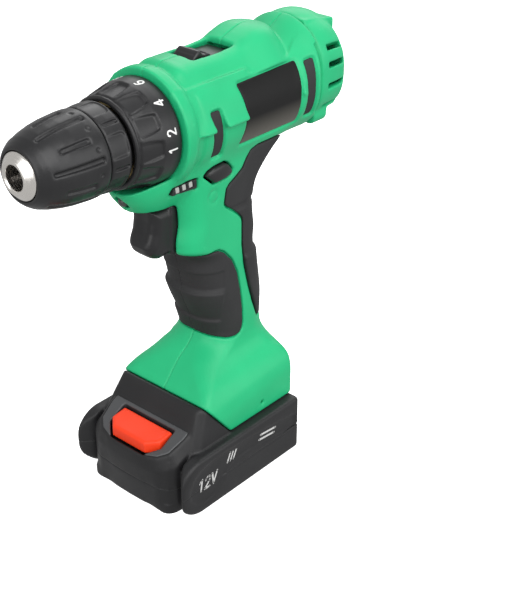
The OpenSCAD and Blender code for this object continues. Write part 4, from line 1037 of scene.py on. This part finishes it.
FINISHES = {
    "housing_plastic": GREEN,
    "grip_rubber": RUBBER_BLACK,
    "label_film": FILM,
    "dark_plastic": BLACK,
    "latch_plastic": ORANGE,
    "nose_metal": NOSE_METAL,
    "tool_steel": STEEL,
    "brass": BRASS,
    "windings": COPPER,
    "light_alloy": ALLOY,
    "clear_lens": LENS,
    "wire_cover": WIRE_RED,
}


def finish_cad():
    """Gives every CAD node the material that goes with its slot."""
    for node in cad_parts.values():
        for place in node.material_slots:
            place.material = FINISHES[place.material.name.split(".")[0]]


# ------------------------------------------------------------ camera and light


def camera():
    """Camera at the viewing angle of a product shot, slightly above the drill."""
    azimuth, elevation, roll = math.radians(40.64), math.radians(29.57), math.radians(0.35)
    back = Vector((math.cos(elevation) * math.cos(azimuth), math.cos(elevation) * math.sin(azimuth),
                   math.sin(elevation)))
    right = Vector((0, 0, 1)).cross(back).normalized()
    up = back.cross(right)
    across = math.cos(roll) * right + math.sin(roll) * up
    above = -math.sin(roll) * right + math.cos(roll) * up
    turn = Matrix((across, above, back)).transposed()
    data = bpy.data.cameras.new("camera")
    data.lens, data.sensor_width = 73.03, 36.0
    data.clip_start = 0.01
    eye = bpy.data.objects.new("camera", data)
    eye.matrix_world = Matrix.Translation(Vector((346.7, 347.3, 366.9)) * MM) @ turn.to_4x4()
    bpy.context.scene.collection.objects.link(eye)
    bpy.context.scene.camera = eye


def lamp(name, place, size, power):
    """Rectangular lamp that points at the middle of the drill."""
    data = bpy.data.lights.new(name, "AREA")
    data.shape = "RECTANGLE"
    data.size, data.size_y = size
    data.energy = power
    light = bpy.data.objects.new(name, data)
    light.location = Vector(place) * MM
    light.rotation_euler = (Vector(place) - Vector((0, 0, 100))).to_track_quat("Z", "Y").to_euler()
    bpy.context.scene.collection.objects.link(light)


def studio():
    """Pale floor that runs up to the horizon, and broad soft lights."""
    floor_white = moulded("floor_white", (0.86, 0.86, 0.86), 0.7, 300, 0.002, 0.2, 0.0)
    glow = floor_white.node_tree.nodes["Principled BSDF"].inputs
    glow["Emission Color"].default_value = (1, 1, 1, 1)
    glow["Emission Strength"].default_value = 1.0
    size = 6.0
    corners_xy = [(-size, -size, 0), (size, -size, 0), (size, size, 0), (-size, size, 0)]
    mesh = bpy.data.meshes.new("floor")
    mesh.from_pydata(corners_xy, [], [(0, 1, 2, 3)])
    mesh.materials.append(floor_white)
    floor = bpy.data.objects.new("floor", mesh)
    bpy.context.scene.collection.objects.link(floor)
    # white behind the drill, without shining on it
    floor.visible_diffuse = floor.visible_glossy = False
    lamp("key", (250, 700, 900), (0.9, 0.9), 9)
    lamp("front", (900, 150, 500), (0.8, 0.8), 4)
    lamp("back", (-700, -300, 800), (1.0, 0.8), 5)
    lamp("side", (-300, 900, 350), (0.8, 0.6), 3)
    world = bpy.data.worlds.new("studio")
    world.use_nodes = True
    world.node_tree.nodes["Background"].inputs["Color"].default_value = (1, 1, 1, 1)
    world.node_tree.nodes["Background"].inputs["Strength"].default_value = 0.56
    bpy.context.scene.world = world
    bpy.context.scene.view_settings.view_transform = "Standard"


camera()
studio()
finish_cad()
housing_halves()
grips()
rear_cap()
side_panels()
small_controls()
trigger()
collar()
dial_numbers()
sleeves()
battery()
pack_marks()
tray_rim()
latch()
